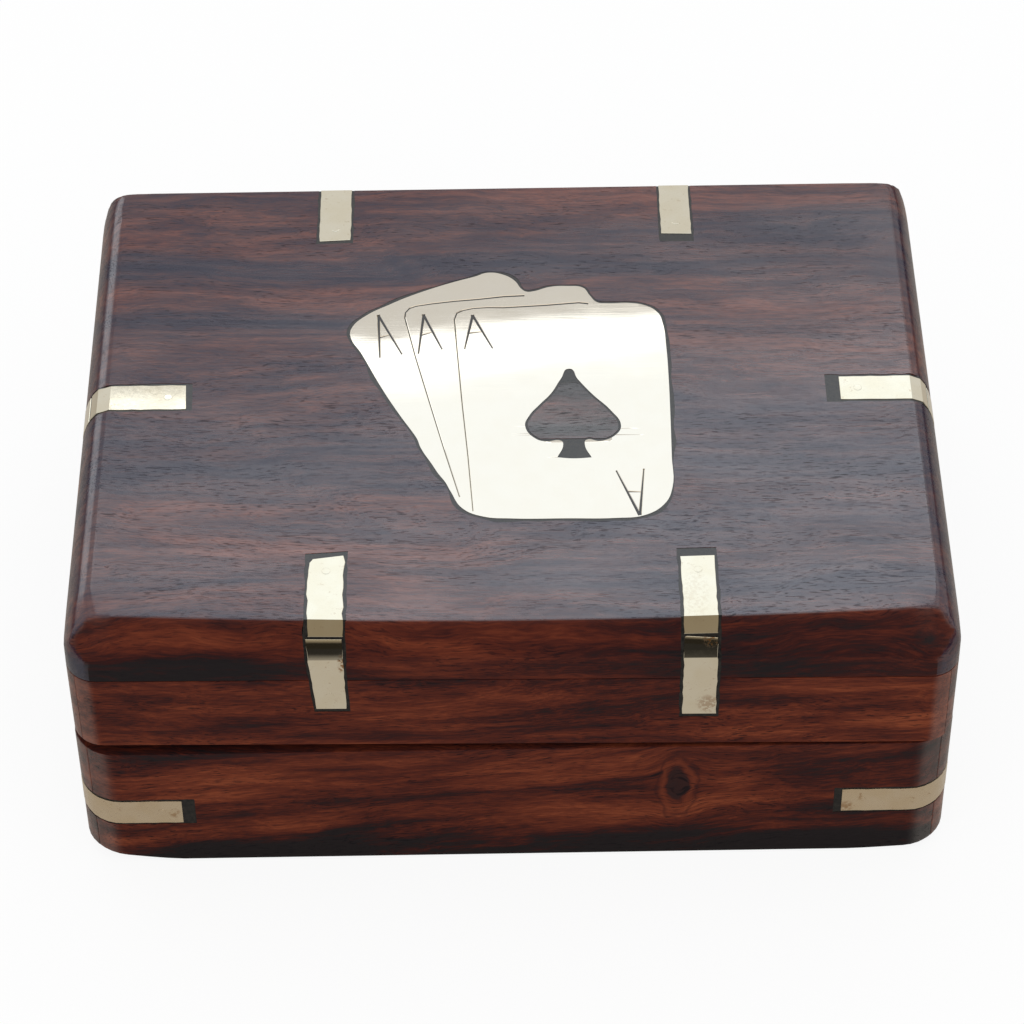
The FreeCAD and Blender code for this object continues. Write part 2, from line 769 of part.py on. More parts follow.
felt_fit = size.felt_clearance
well_near = divider_half + felt_fit
well_far = inner_half_width - felt_fit
well_reach = inner_half_depth - felt_fit
felt_top = size.floor_thickness + size.felt_thickness
for well_side, x_low, x_high in (("left", -well_far, -well_near), ("right", well_near, well_far)):
    felt_name = f"{well_side}_well_felt"
    keep(
        felt_name,
        box(felt_name, (x_low, -well_reach, size.floor_thickness), (x_high, well_reach, felt_top)),
    )
keep(
    "lid_felt",
    box(
        "lid_felt",
        (-well_far, -well_reach, seam_level - size.felt_thickness),
        (well_far, well_reach, seam_level),
    ),
)

# ---- The lid ----

lid_legs, lid_pins, lid_pockets, lid_cutters = lid_straps()

no_margin = as_size(0)
spade_insert = keep("spade_insert", spade("spade_insert", no_margin))
spade_hole = spade("spade_hole", size.filler_side / 2)
plate_blank = card_fan("plate_blank", no_margin)
keep("card_fan_plate", cut("card_fan_plate", plate_blank, spade_hole))
plate_pocket = card_fan("plate_pocket", size.filler_side)
plate_filler = cut("plate_filler", plate_pocket, plate_blank)
spade_filler = cut("spade_filler", spade_hole, spade_insert)

lid_wood_cutter = fuse(
    "lid_wood_cutter",
    lid_cutters
    + lid_pins
    + [plate_pocket, back_chamfer("lid_back_chamfer", lid_bottom, 1)]
    + hinge_cutters["lid"],
)
rail_block = rounded_block(
    "rail_block", size.box_width, size.box_depth, size.lid_corner_radius, lid_bottom, size.rail_height
)
rail_names = {side: f"lid_{side}_rail" for side in SIDES}
for label, blank in mitred_frame(rail_names, rail_block, lid_bottom, size.rail_height).items():
    keep(label, cut(label, blank, lid_wood_cutter))

board_block = rounded_block(
    "board_block", size.box_width, size.box_depth, size.lid_corner_radius, seam_level, size.board_height
)
bevels = []
for side, (way_out, angle, reach, run) in SIDES.items():
    # The wedge follows the slope of the bevel past both of its edges.
    over = run * BEVEL_OVERRUN
    lift = size.bevel_drop * BEVEL_OVERRUN
    wedge_corners = [
        (reach - run - over, top_level + lift),
        (reach + over, top_level - size.bevel_drop - lift),
        (reach + over + CUT_MARGIN, top_level + lift),
    ]
    wedge = slab_along_y(f"{side}_bevel", wedge_corners, (half_width + half_depth) * 2)
    bevels.append(place(wedge, 0, 0, 0, FreeCAD.Rotation(FreeCAD.Vector(0, 0, 1), angle)))
bevelled_board = cut("bevelled_board", board_block, fuse("bevel_cutter", bevels))
keep("lid_top_board", cut("lid_top_board", bevelled_board, lid_wood_cutter))

lid_pin_group = keep("lid_strap_pins", group("lid_strap_pins", lid_pins))
for label, strip in lid_legs:
    keep(label, cut(label, strip, lid_pin_group))
lid_leg_group = group("lid_leg_group", [strip for label, strip in lid_legs])
lid_pocket_group = group("lid_pocket_group", lid_pockets)
strap_filler = cut("strap_filler", lid_pocket_group, lid_leg_group)
keep("lid_inlay_filler", group("lid_inlay_filler", [strap_filler, plate_filler, spade_filler]))

# ---- Build, check and write ----

doc.recompute()
failed = [obj.Label for obj in doc.Objects if {"Invalid", "Error"} & set(obj.State)]
if failed:
    raise RuntimeError(f"these objects failed: {failed}")
for label, obj in nodes.items():
    if obj.Shape.isNull() or not obj.Shape.isValid() or not obj.Shape.Solids:
        raise RuntimeError(f"{label} has no valid solid")
    if obj.Label != label:
        raise RuntimeError(f"{label} was renamed {obj.Label}")

os.makedirs("parts", exist_ok=True)
for label, obj in nodes.items():
    obj.Shape.exportStep(f"parts/{label}.step")
    print(f"{label}: {len(obj.Shape.Solids)} solid(s), {obj.Shape.Volume:.1f} mm3")
print(f"{len(nodes)} nodes, {top_level.number:.1f} mm high")
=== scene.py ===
# %% [markdown]
# # A playing card box in rosewood and brass
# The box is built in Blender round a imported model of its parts. That model, the frame, gives every part its
# place, and it moves the lid. Here each part gets its finished shape and its finish, one step at a time.
# Lengths are written in millimetres, and one helper turns them into Blender's metres.

# %% Load the frame
import math
import random

import bmesh
import bpy
from mathutils import Matrix, Vector
from mathutils import noise as field


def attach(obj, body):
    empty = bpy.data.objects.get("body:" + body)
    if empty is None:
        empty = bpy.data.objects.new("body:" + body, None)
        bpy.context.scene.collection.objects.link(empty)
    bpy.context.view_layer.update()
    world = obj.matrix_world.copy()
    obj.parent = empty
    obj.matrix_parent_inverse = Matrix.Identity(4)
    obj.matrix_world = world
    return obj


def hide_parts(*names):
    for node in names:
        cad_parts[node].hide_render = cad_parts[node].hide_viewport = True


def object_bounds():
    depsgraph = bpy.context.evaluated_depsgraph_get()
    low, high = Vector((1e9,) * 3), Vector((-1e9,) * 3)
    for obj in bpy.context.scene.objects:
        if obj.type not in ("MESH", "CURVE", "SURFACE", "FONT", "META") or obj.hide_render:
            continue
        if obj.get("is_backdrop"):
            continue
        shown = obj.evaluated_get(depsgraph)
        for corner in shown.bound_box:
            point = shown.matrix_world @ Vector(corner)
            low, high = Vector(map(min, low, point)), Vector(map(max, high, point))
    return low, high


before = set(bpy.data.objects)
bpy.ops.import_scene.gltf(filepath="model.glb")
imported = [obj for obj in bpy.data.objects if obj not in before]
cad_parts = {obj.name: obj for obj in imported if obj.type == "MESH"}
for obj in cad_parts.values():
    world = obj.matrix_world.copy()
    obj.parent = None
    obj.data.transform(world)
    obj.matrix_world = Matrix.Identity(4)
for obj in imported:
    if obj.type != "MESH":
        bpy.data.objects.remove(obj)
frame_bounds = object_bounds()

print("parts in the frame:", len(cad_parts))

# %% [markdown]
# ## Measures
# A box maker works from a short list of sizes. The lower half and the lid are both rings of wood on four
# sides, and the lid has a thick board on top with a slope worked along its edges. The sizes are written down
# once, here, and every step reads them, so that two pieces that meet always use the same number.

# %% Sizes of the box
def mm(*values):
    """Millimetres to metres: one number stays a number, three become a vector."""
    if len(values) == 1:
        return values[0] * 0.001
    return Vector(values) * 0.001


# half sizes, to the side and to the front. The lower half is a little wider than the lid
HALF_WIDTH = 76.0
BASE_HALF_WIDTH = 76.4
HALF_DEPTH = 58.5
WALL = 8.0
# heights: top of the lower half, bottom of the lid, seam under the top board, top of the box
RIM = 29.2
LID_BOTTOM = 29.5
SEAM = 46.3
TOP = 58.1
# how round the upright edges are
BASE_CORNER = 7.5
LID_CORNER = 5.5
low, high = frame_bounds
print("frame, mm:", [round(v * 1000, 1) for v in high - low])

# %% [markdown]
# ## Camera
# A long lens from above and in front shows the lid and the front at once. The camera could be aimed at the
# box with a tracking constraint, but that leaves no roll. So it is turned in three plain steps: tilt it down,
# turn it a hair to the side, and roll it a hair about its own line of sight.

# %% Place the camera
SENSOR_WIDTH = 36.0
LENS = 130.54
CAMERA_PLACE = mm(-1.56, -474.11, 518.79)
CAMERA_TILT = math.radians(90 - 46.014)
CAMERA_TURN = math.radians(-0.228)
CAMERA_ROLL = math.radians(-0.729)

bpy.ops.object.camera_add()
camera = bpy.context.object
camera.name = "camera"
camera.data.sensor_width = SENSOR_WIDTH
camera.data.lens = LENS
turn = Matrix.Rotation(CAMERA_TURN, 4, "Z")
tilt = Matrix.Rotation(CAMERA_TILT, 4, "X")
roll = Matrix.Rotation(CAMERA_ROLL, 4, "Z")
camera.matrix_world = Matrix.Translation(CAMERA_PLACE) @ turn @ tilt @ roll
bpy.context.scene.camera = camera
print("camera height, mm:", round(camera.location.z * 1000))

# %% [markdown]
# ## Small helpers for node materials
# A material is a little machine of nodes. They could be placed by hand in the shader editor. These helpers
# add a node, join what it reads, and hand back what it gives, so that a finish reads like a recipe.

# %% Helpers for nodes and sums
def add_node(tree, kind, inputs=None, **settings):
    """Add a shader node. Inputs may be plain values or the outputs of other nodes."""
    node = tree.nodes.new("ShaderNode" + kind)
    for key, value in settings.items():
        setattr(node, key, value)
    for key, value in (inputs or {}).items():
        if isinstance(value, bpy.types.NodeSocket):
            tree.links.new(value, node.inputs[key])
        else:
            node.inputs[key].default_value = value
    return node


def number(tree, operation, first, second=0.0):
    """One sum on one or two numbers."""
    return add_node(tree, "Math", {0: first, 1: second}, operation=operation).outputs[0]


def arrows(tree, operation, first, second=(0.0, 0.0, 0.0)):
    """One sum on places or directions."""
    node = add_node(tree, "VectorMath", {0: first, 1: second}, operation=operation)
    return node.outputs["Value" if operation == "LENGTH" else "Vector"]


def spread(tree, value, start, end, first=0.0, last=1.0):
    """Map a range of numbers smoothly on to another and hold it at both ends."""
    inputs = {"Value": value, "From Min": start, "From Max": end, "To Min": first, "To Max": last}
    return add_node(tree, "MapRange", inputs, interpolation_type="SMOOTHSTEP").outputs["Result"]


def stretch(tree, value, lowest=0.34, highest=0.66):
    """Noise stays near the middle, so this pulls it out to fill 0 to 1."""
    inputs = {"Value": value, "From Min": lowest, "From Max": highest}
    return add_node(tree, "MapRange", inputs).outputs["Result"]


def weighted(tree, first, *others):
    """The sum of several numbers, each multiplied by its own weight."""
    total = number(tree, "MULTIPLY", *first)
    for value, weight in others:
        total = number(tree, "ADD", total, number(tree, "MULTIPLY", value, weight))
    return total


print("node helpers ready")

# %% [markdown]
# ## Small helpers for patterns
# Wood, stains and felt are never one even colour. Each is made of cloudy noise, of colour ramps and of soft
# patches at a chosen place. All of them are read at a place on the object in millimetres, so a pattern keeps
# its true scale on every piece and runs on from one board to the next.

# %% Helpers for colours and patterns
def mix_colour(tree, amount, first, second):
    """Mix two colours. A Mix node takes its amount on input 0 and its colours on inputs 6 and 7."""
    node = add_node(tree, "Mix", {0: amount, 6: first, 7: second}, data_type="RGBA")
    return node.outputs[2]


def noise(tree, place, density, detail=2.0, roughness=0.5):
    """A cloudy pattern. Density is how many blots there are in a millimetre, along each axis."""
    scaled = arrows(tree, "MULTIPLY", place, density)
    inputs = {"Vector": scaled, "Scale": 1.0, "Detail": detail, "Roughness": roughness}
    return add_node(tree, "TexNoise", inputs).outputs["Fac"]


def ramp(tree, value, stops):
    """A colour ramp from (place, colour) stops. A plain number as a colour is a grey."""
    node = add_node(tree, "ValToRGB", {"Fac": value})
    strip = node.color_ramp.elements
    while len(strip) < len(stops):
        strip.new(0.5)
    for element, (position, colour) in zip(strip, stops):
        element.position = position
        element.color = (colour,) * 3 + (1,) if isinstance(colour, float) else (*colour, 1)
    return node.outputs["Color"]


def patch(tree, place, centre, radii, soft=0.5):
    """1 inside an egg-shaped area and 0 outside it, with a soft edge."""
    offset = arrows(tree, "SUBTRACT", place, centre)
    shrunk = arrows(tree, "DIVIDE", offset, radii)
    return spread(tree, arrows(tree, "LENGTH", shrunk), 1.0, 1.0 - soft)


def split(tree, arrow):
    """The X, Y and Z of a place or a direction."""
    return add_node(tree, "SeparateXYZ", {"Vector": arrow}).outputs


def way_it_faces(tree):
    """Which way the surface faces. It belongs to the piece, so it stays the same when the lid opens."""
    return split(tree, add_node(tree, "TexCoord").outputs["Normal"])


def new_material(name):
    """A material with its shader, and the place on the object in millimetres."""
    material = bpy.data.materials.new(name)
    material.use_nodes = True
    tree = material.node_tree
    shader = tree.nodes["Principled BSDF"]
    place = add_node(tree, "TexCoord").outputs["Object"]
    scaled = arrows(tree, "MULTIPLY", place, (1000.0, 1000.0, 1000.0))
    return material, tree, shader, scaled


print("pattern helpers ready")

# %% [markdown]
# ## Soft lights
# Behind and above the box hangs one large soft light. Polished brass shows that light as white, and shows the
# paler room under it as grey, so where the light ends matters as much as how strong it is. A second soft
# light, large and weak, fills in the front of the box, and a small one at the left shows in the bent brass
# and along the waxed edge there. A sun or a small lamp would be simpler, but it would draw hard shadows and
# hard spots.

# %% Hang the soft lights
TARGET = mm(0, 0, 50)


def add_softbox(name, azimuth, elevation, distance, width, height, watts, colour):
    """A rectangular lamp that faces the box. Azimuth 0 is behind the box."""
    turn_angle, lift_angle = math.radians(azimuth), math.radians(elevation)
    flat = math.cos(lift_angle)
    away = Vector((math.sin(turn_angle) * flat, math.cos(turn_angle) * flat, math.sin(lift_angle)))
    bpy.ops.object.light_add(type="AREA", location=TARGET + away * distance)
    lamp = bpy.context.object
    lamp.name = name
    lamp.rotation_mode = "QUATERNION"
    lamp.rotation_quaternion = away.to_track_quat("Z", "Y")
    lamp.data.shape = "RECTANGLE"
    lamp.data.size = width
    lamp.data.size_y = height
    lamp.data.energy = watts
    lamp.data.color = colour
    return lamp


# name, azimuth and elevation in degrees, distance, width and height in metres, watts, colour
BACK_LIGHT = ("back_softbox", 0, 65.0, 1.2, 1.1, 1.02, 5.25, (0.88, 0.94, 1.0))
FRONT_LIGHT = ("front_softbox", 176, 56, 1.4, 2.4, 1.5, 9.0, (1.0, 0.97, 0.93))
SIDE_LIGHT = ("side_softbox", -44, 8, 1.2, 0.6, 0.55, 1.45, (0.9, 0.95, 1.0))
for description in (BACK_LIGHT, FRONT_LIGHT, SIDE_LIGHT):
    lamp = add_softbox(*description)
    print(lamp.name, [round(v, 2) for v in lamp.location])

# %% [markdown]
# ## The room
# The world is a plain white room. What the camera sees of it is pure white, and it lights the wood evenly.
# Only mirrors see more of it: a bright wall behind the box, a dim warm one in front, and nearly nothing at
# eye level, where the sides of the box look. A lamp doesn't hide the room behind it, and in a mirror the two
# would add up, so the room is dark for mirrors just where the big lamp hangs. Real walls could do all this,
# but a few ranges on a direction are quicker to render and easier to tune.

# %% Set the room round the box
ROOM_FILL = 0.62
ROOM_BEHIND = 0.82
ROOM_IN_FRONT = 0.32
ROOM_AT_EYE_LEVEL = 0.025
WHITE = (1, 1, 1, 1)
WARM = (1.0, 0.84, 0.62, 1)
# where each part of the room starts and is full, on a direction of length 1: Y is behind, Z is up
BEHIND = (-0.7, 0.3)
OVER_LAMP_EDGE = (0.674, 0.684)
BEFORE_OVERHEAD = (0.0, 0.05)
BETWEEN_LAMP_ENDS = (0.43, 0.36)
OVER_EYE_LEVEL = (0.11, 0.20)

world = bpy.data.worlds.new("studio")
bpy.context.scene.world = world
world.use_nodes = True
room = world.node_tree
ray = add_node(room, "LightPath").outputs
toward = split(room, add_node(room, "TexCoord").outputs["Generated"])
behind = spread(room, toward["Y"], *BEHIND)
not_behind = number(room, "SUBTRACT", 1.0, behind)
above_edge = spread(room, toward["Z"], *OVER_LAMP_EDGE)
before_overhead = spread(room, toward["Y"], *BEFORE_OVERHEAD)
between_ends = spread(room, number(room, "ABSOLUTE", toward["X"]), *BETWEEN_LAMP_ENDS)
at_lamp = number(room, "MULTIPLY", number(room, "MULTIPLY", above_edge, before_overhead), between_ends)
past_lamp = number(room, "SUBTRACT", 1.0, at_lamp)
in_front = spread(room, toward["Z"], *OVER_EYE_LEVEL, ROOM_AT_EYE_LEVEL, ROOM_IN_FRONT)
in_front = number(room, "MULTIPLY", in_front, not_behind)
seen_behind = number(room, "MULTIPLY", number(room, "MULTIPLY", behind, past_lamp), ROOM_BEHIND)
mirrored = number(room, "ADD", in_front, seen_behind)
fill = number(room, "MULTIPLY", number(room, "SUBTRACT", 1.0, ray["Is Glossy Ray"]), ROOM_FILL)
seen = number(room, "MULTIPLY", ray["Is Glossy Ray"], mirrored)
backdrop = number(room, "MAXIMUM", ray["Is Camera Ray"], ray["Is Transmission Ray"])
strength = number(room, "MAXIMUM", number(room, "ADD", fill, seen), backdrop)
warmth = number(room, "MULTIPLY", ray["Is Glossy Ray"], not_behind)
background = room.nodes["Background"]
room.links.new(mix_colour(room, warmth, WHITE, WARM), background.inputs["Color"])
room.links.new(strength, background.inputs["Strength"])
bpy.context.scene.view_settings.view_transform = "Standard"
print("room fill:", ROOM_FILL)

# %% [markdown]
# ## The table
# The box stands on a white table that runs off into the white behind it. One wide plane is enough. Its matt
# paint takes the box's shadow, and a white glow is mixed in for what sees the table directly, so that its far
# edge doesn't show. In mirrors only the part close to the box glows, a little warm, so that the brass on the
# sides of the box isn't plain white.

# %% Lay the floor
TABLE_WIDTH = 6.0
TABLE_UNDER_BOX = 0.0001
TABLE_PAINT = (0.86, 0.86, 0.86, 1)
TABLE_IN_MIRRORS = (1.0, 0.93, 0.84, 1)
FLOOR_GLOW = 0.90
# the glow in mirrors close to the box and far away, and how far out it changes, in metres
MIRRORED_NEAR = 0.58
MIRRORED_FAR = 0.03
FLOOR_FADE = (0.20, 0.50)

bpy.ops.mesh.primitive_plane_add(size=TABLE_WIDTH, location=(0, 0, -TABLE_UNDER_BOX))
floor = bpy.context.object
floor.name = "white_table"
bpy.ops.object.transform_apply(location=True, rotation=True, scale=True)
table_finish = bpy.data.materials.new("white_table")
table_finish.use_nodes = True
tree = table_finish.node_tree
ray = add_node(tree, "LightPath").outputs
paint = tree.nodes["Principled BSDF"]
paint.inputs["Base Color"].default_value = TABLE_PAINT
paint.inputs["Roughness"].default_value = 0.9
paint.inputs["Specular IOR Level"].default_value = 0.0
away = arrows(tree, "LENGTH", add_node(tree, "TexCoord").outputs["Object"])
in_mirror = spread(tree, away, *FLOOR_FADE, MIRRORED_NEAR, MIRRORED_FAR)
dimmed = number(tree, "MULTIPLY", ray["Is Glossy Ray"], number(tree, "SUBTRACT", 1.0, in_mirror))
glow_colour = mix_colour(tree, ray["Is Glossy Ray"], WHITE, TABLE_IN_MIRRORS)
glow = add_node(tree, "Emission", {"Color": glow_colour, "Strength": number(tree, "SUBTRACT", 1.0, dimmed)})
direct = number(tree, "MAXIMUM", ray["Is Camera Ray"], ray["Is Transmission Ray"])
share = number(tree, "MAXIMUM", number(tree, "MULTIPLY", direct, FLOOR_GLOW), ray["Is Glossy Ray"])
blended = add_node(tree, "MixShader", {0: share, 1: paint.outputs[0], 2: glow.outputs[0]})
tree.links.new(blended.outputs[0], tree.nodes["Material Output"].inputs["Surface"])
floor.data.materials.append(table_finish)
floor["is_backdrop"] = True
print("floor laid, glow", FLOOR_GLOW)

# %% [markdown]
# ## Rosewood
# Sawn along the trunk, rosewood shows bands of red-brown and near-black that run with the grain, thin streaks
# inside the bands, and pores cut open into short dark dashes. A picture of wood could be wrapped round the
# box, but it would smear on the cut ends. Here the wood is solid noise, stretched a long way along the grain,
# so that a cut end shows the same pattern as dots, as it does on real wood.

# %% Pick the wood's colours
NEAR_BLACK = (0.014, 0.011, 0.012)
DARK_RED = (0.036, 0.010, 0.009)
RED_BROWN = (0.080, 0.017, 0.010)
ORANGE_BROWN = (0.135, 0.030, 0.014)
PALE_ORANGE = (0.205, 0.050, 0.021)
WOOD_STOPS = [
    (0.14, NEAR_BLACK), (0.34, DARK_RED), (0.54, RED_BROWN), (0.74, ORANGE_BROWN), (0.94, PALE_ORANGE),
]
# where the top board faces up or to the side it takes this darker, blue-black list: painted shade with a
# painted blue cast of the reflected light
TOP_PAINTED_SHADE_STOPS = [
    (0.12, (0.008, 0.008, 0.027)), (0.32, (0.018, 0.010, 0.026)), (0.54, (0.055, 0.018, 0.023)),
    (0.76, (0.130, 0.036, 0.026)), (0.94, (0.190, 0.062, 0.043)),
]
PORE_COLOUR = (0.006, 0.005, 0.007, 1)
KNOT_HEART = (0.024, 0.012, 0.012, 1)
print("wood tones:", len(WOOD_STOPS), "and on top:", len(TOP_PAINTED_SHADE_STOPS))

# %% [markdown]
# ## The run of the grain
# A tree doesn't grow in straight lines. A slow drift and a short ripple let the lines sway, and in front of a
# knot they part and close again behind it. All of this moves the place where the noise is read, and leaves
# the noise alone, so the lines bend but never break.

# %% Bend the grain
# how many blots there are in a millimetre, along the grain and across it
DRIFT = (0.012, 0.035, 0.035)
RIPPLE = (0.06, 0.12, 0.12)
DRIFT_REACH = 12.0
RIPPLE_REACH = 3.5
KNOT_PULL = 1.4
KNOT_EDGE = (0.28, 0.28, 0.22)
KNOT_UNEVEN = 1.5


def centred(tree, place, density, detail):
    """Noise that swings about 0."""
    return number(tree, "SUBTRACT", noise(tree, place, density, detail), 0.5)


def run_grain(tree, place, shift, rise, lift, grain):
    """Turn the grain, in degrees, and let it sway. Hands back the bent place and the drift."""
    turned = (0.0, math.radians(rise), math.radians(lift) - (math.pi / 2 if grain == "Y" else 0.0))
    turning = {"Vector": place, "Rotation": turned, "Location": shift}
    along = add_node(tree, "Mapping", turning).outputs[0]
    drift = centred(tree, along, DRIFT, 1.0)
    ripple = centred(tree, along, RIPPLE, 2.0)
    sway = weighted(tree, (drift, DRIFT_REACH), (ripple, RIPPLE_REACH))
    bend = add_node(tree, "CombineXYZ", {"X": 0.0, "Y": sway, "Z": sway}).outputs[0]
    return arrows(tree, "ADD", along, bend), drift


def push_round_knot(tree, place, centre, radii):
    """Part the lines round a knot. Hands back the bent place and how far from the knot it is."""
    offset = arrows(tree, "SUBTRACT", place, centre)
    distance = arrows(tree, "LENGTH", arrows(tree, "DIVIDE", offset, radii))
    squared = number(tree, "MULTIPLY", distance, distance)
    share = number(tree, "DIVIDE", KNOT_PULL, number(tree, "ADD", squared, KNOT_PULL))
    push = number(tree, "MULTIPLY", split(tree, offset)["Z"], share)
    shift = add_node(tree, "CombineXYZ", {"X": 0.0, "Y": 0.0, "Z": push}).outputs[0]
    uneven = number(tree, "MULTIPLY", centred(tree, place, KNOT_EDGE, 2.0), KNOT_UNEVEN)
    return arrows(tree, "SUBTRACT", place, shift), number(tree, "ADD", distance, uneven)


print("the grain drifts by up to", DRIFT_REACH / 2, "mm")

# %% [markdown]
# ## Bands, streaks, fibres and pores
# The tone of the wood is the sum of three widths of the same kind of noise: bands, streaks and fibres. On a
# board that shows a clear figure, two lists of bands, one for each end, take over most of the widest. At some
# places the wood is darker or lighter than the noise alone would make it: each of these is an egg-shaped
# patch that sways with the grain.

# %% Work out the tone
BAND_NOISE = (0.018, 0.13, 0.13)
STREAK_NOISE = (0.05, 0.60, 0.60)
FIBRE_NOISE = (0.30, 3.6, 3.6)
PORE_NOISE = (0.40, 4.2, 4.2)
PORE_CROWDS = (0.03, 0.16, 0.16)
# how much of the tone comes from the bands, the streaks and the fibres
PLAIN_SHARES = (0.48, 0.28, 0.24)
FIGURED_SHARES = (0.56, 0.26, 0.18)
# how much of the bands comes from noise and from the lists
NOISE_SHARE, LIST_SHARE = 0.35, 0.65
ACROSS_BOARD = (-60.0, 60.0)
LEFT_TO_RIGHT = (-28.0, 34.0)
PLACE_SWAY = 8.0


def banded(tree, across, lengthwise, left_bands, right_bands):
    """Bands across a board that differ at its two ends."""
    measure = stretch(tree, across, *ACROSS_BOARD)
    left, right = ramp(tree, measure, left_bands), ramp(tree, measure, right_bands)
    mixed = mix_colour(tree, spread(tree, lengthwise, *LEFT_TO_RIGHT), left, right)
    return add_node(tree, "SeparateColor", {"Color": mixed}).outputs[0]


def wood_tone(tree, along, streak, fibre, bands):
    """How light the wood is, from its bands, streaks and fibres."""
    broad = stretch(tree, noise(tree, along, BAND_NOISE, 2.0))
    if not bands:
        return weighted(tree, *zip((broad, streak, fibre), PLAIN_SHARES))
    parts = split(tree, along)
    figure = banded(tree, parts["Y"], parts["X"], *bands)
    broad = weighted(tree, (broad, NOISE_SHARE), (figure, LIST_SHARE))
    return weighted(tree, *zip((broad, streak, fibre), FIGURED_SHARES))


def shade_places(tree, tone, place, drift, places):
    """Make the wood darker or lighter at each (centre, radii, amount)."""
    for centre, radii, amount in places:
        wobble = add_node(tree, "CombineXYZ", {"Z": number(tree, "MULTIPLY", drift, PLACE_SWAY)}).outputs[0]
        inside = patch(tree, arrows(tree, "ADD", place, wobble), centre, radii, 0.7)
        tone = number(tree, "ADD", tone, number(tree, "MULTIPLY", inside, amount))
    return tone


def open_pores(tree, along):
    """1 in the short dashes where pores are cut open. They crowd together in some bands."""
    crowd = spread(tree, noise(tree, along, PORE_CROWDS, 1.0), 0.35, 0.62, 0.25, 1.0)
    pore = noise(tree, along, PORE_NOISE, 1.0)
    return number(tree, "MULTIPLY", spread(tree, pore, 0.58, 0.68), crowd)


print("shares of the tone:", PLAIN_SHARES, "figured:", FIGURED_SHARES)

# %% [markdown]
# ## Colour and knot
# The tone picks a colour from the list of wood colours. On the top board a second, darker and bluer list
# takes over
# where the wood faces up or to the side: this is painted shade with a painted blue cast of the reflected
# light.
# Its sloped front edge keeps the redder one. The knot is a dark heart with a paler ring round it and a dark
# line outside that. Its distances are counted in its own radii.

# %% Colour the wood
# each is the middle of a ring and half its width
KNOT_RING = (1.25, 0.40)
KNOT_LINE = (1.72, 0.22)
KNOT_HEART_EDGE = (1.0, 0.75)
SHADE_LIST_FACES_UP = (0.80, 0.95)
SHADE_LIST_FACES_SIDEWAYS = (0.15, 0.40)


def ring_round(tree, distance, middle_of_ring, half_width):
    """1 on a ring at that distance and 0 away from it."""
    away = number(tree, "ABSOLUTE", number(tree, "SUBTRACT", distance, middle_of_ring))
    return spread(tree, away, half_width, 0.0)


def draw_knot(tree, colour, distance):
    """Lay the pale ring, the dark line and the heart over the wood's colour."""
    heart = spread(tree, distance, *KNOT_HEART_EDGE)
    ring = ring_round(tree, distance, *KNOT_RING)
    dark_line = ring_round(tree, distance, *KNOT_LINE)
    colour = mix_colour(tree, number(tree, "MULTIPLY", ring, 0.75), colour, (*ORANGE_BROWN, 1))
    colour = mix_colour(tree, number(tree, "MULTIPLY", dark_line, 0.5), colour, (*DARK_RED, 1))
    return mix_colour(tree, number(tree, "MULTIPLY", heart, 0.88), colour, KNOT_HEART)


def wood_colour(tree, tone, upward, sideways, figured):
    """The colour for a tone. On a figured board the darker list is painted shade where it faces up or to the
    side.
    """
    colour = ramp(tree, tone, WOOD_STOPS)
    if not figured:
        return colour
    # painted shade: the darker, bluer list where the board faces up or to the side
    on_top = spread(tree, upward, *SHADE_LIST_FACES_UP)
    on_top = number(tree, "MAXIMUM", on_top, spread(tree, sideways, *SHADE_LIST_FACES_SIDEWAYS))
    return mix_colour(tree, on_top, colour, ramp(tree, tone, TOP_PAINTED_SHADE_STOPS))


print("knot rings at", KNOT_RING[0], "and", KNOT_LINE[0], "times its radius")

# %% [markdown]
# ## Wax
# The box is waxed, and the top has been rubbed most. Wax is a thin clear layer over a duller surface, and
# that is what the shader's coat is for: the wood under it stays rough, and the coat alone mirrors the lights.
# It is thickest towards the front right corner, cloudy where the cloth missed it, and thin over open pores.

# %% Wax the wood
COAT_ROUGHNESS = 0.15
COAT_IOR = 2.05
WAX_CLOUDS = (0.035, 0.09, 0.09)
BACK_LEFT_TO_FRONT_RIGHT = (-130.0, 100.0)
BACK_LEFT_SHARE = 0.52
WAXED_UP = (0.80, 0.98)
WAXED_SIDEWAYS = (0.08, 0.40)
LEAST_WAX, EDGE_WAX = 0.02, 0.55


def set_coat(shader):
    """The wax is equally smooth and clear wherever it lies."""
    shader.inputs["Coat Roughness"].default_value = COAT_ROUGHNESS
    shader.inputs["Coat IOR"].default_value = COAT_IOR


def wax_over(tree, place, upward, sideways, streak, dash, polish):
    """How much wax lies on the wood."""
    parts = split(tree, place)
    toward_corner = number(tree, "SUBTRACT", parts["X"], parts["Y"])
    thickness = spread(tree, toward_corner, *BACK_LEFT_TO_FRONT_RIGHT, BACK_LEFT_SHARE * polish, polish)
    cloudy = spread(tree, noise(tree, place, WAX_CLOUDS, 2.0), 0.35, 0.65, 0.84, 1.0)
    thickness = number(tree, "MULTIPLY", thickness, cloudy)
    wax = number(tree, "MULTIPLY", spread(tree, upward, *WAXED_UP), thickness)
    wax = number(tree, "MAXIMUM", wax, spread(tree, sideways, *WAXED_SIDEWAYS, LEAST_WAX, EDGE_WAX))
    wax = number(tree, "MULTIPLY", wax, spread(tree, streak, 0.0, 1.0, 0.85, 1.0))
    return number(tree, "SUBTRACT", wax, number(tree, "MULTIPLY", dash, number(tree, "MULTIPLY", wax, 0.5)))


print("wax at the sloped edges:", EDGE_WAX)

# %% [markdown]
# ## One recipe for every board
# All the boards come from the same recipe, and each is shifted to its own part of the tree, so that no two
# look alike. The grain runs along X on the long boards and along Y on the short ones. Fibres and pores also
# move the surface by a few hundredths of a millimetre. So little needs no geometry: a bump in the material is
# enough.

# %% Mix the rosewood
WOOD_BUMP = 0.00004
FIBRE_HEIGHT = 0.3
PORE_DARKNESS, FIGURED_PORE_DARKNESS = 0.7, 0.5


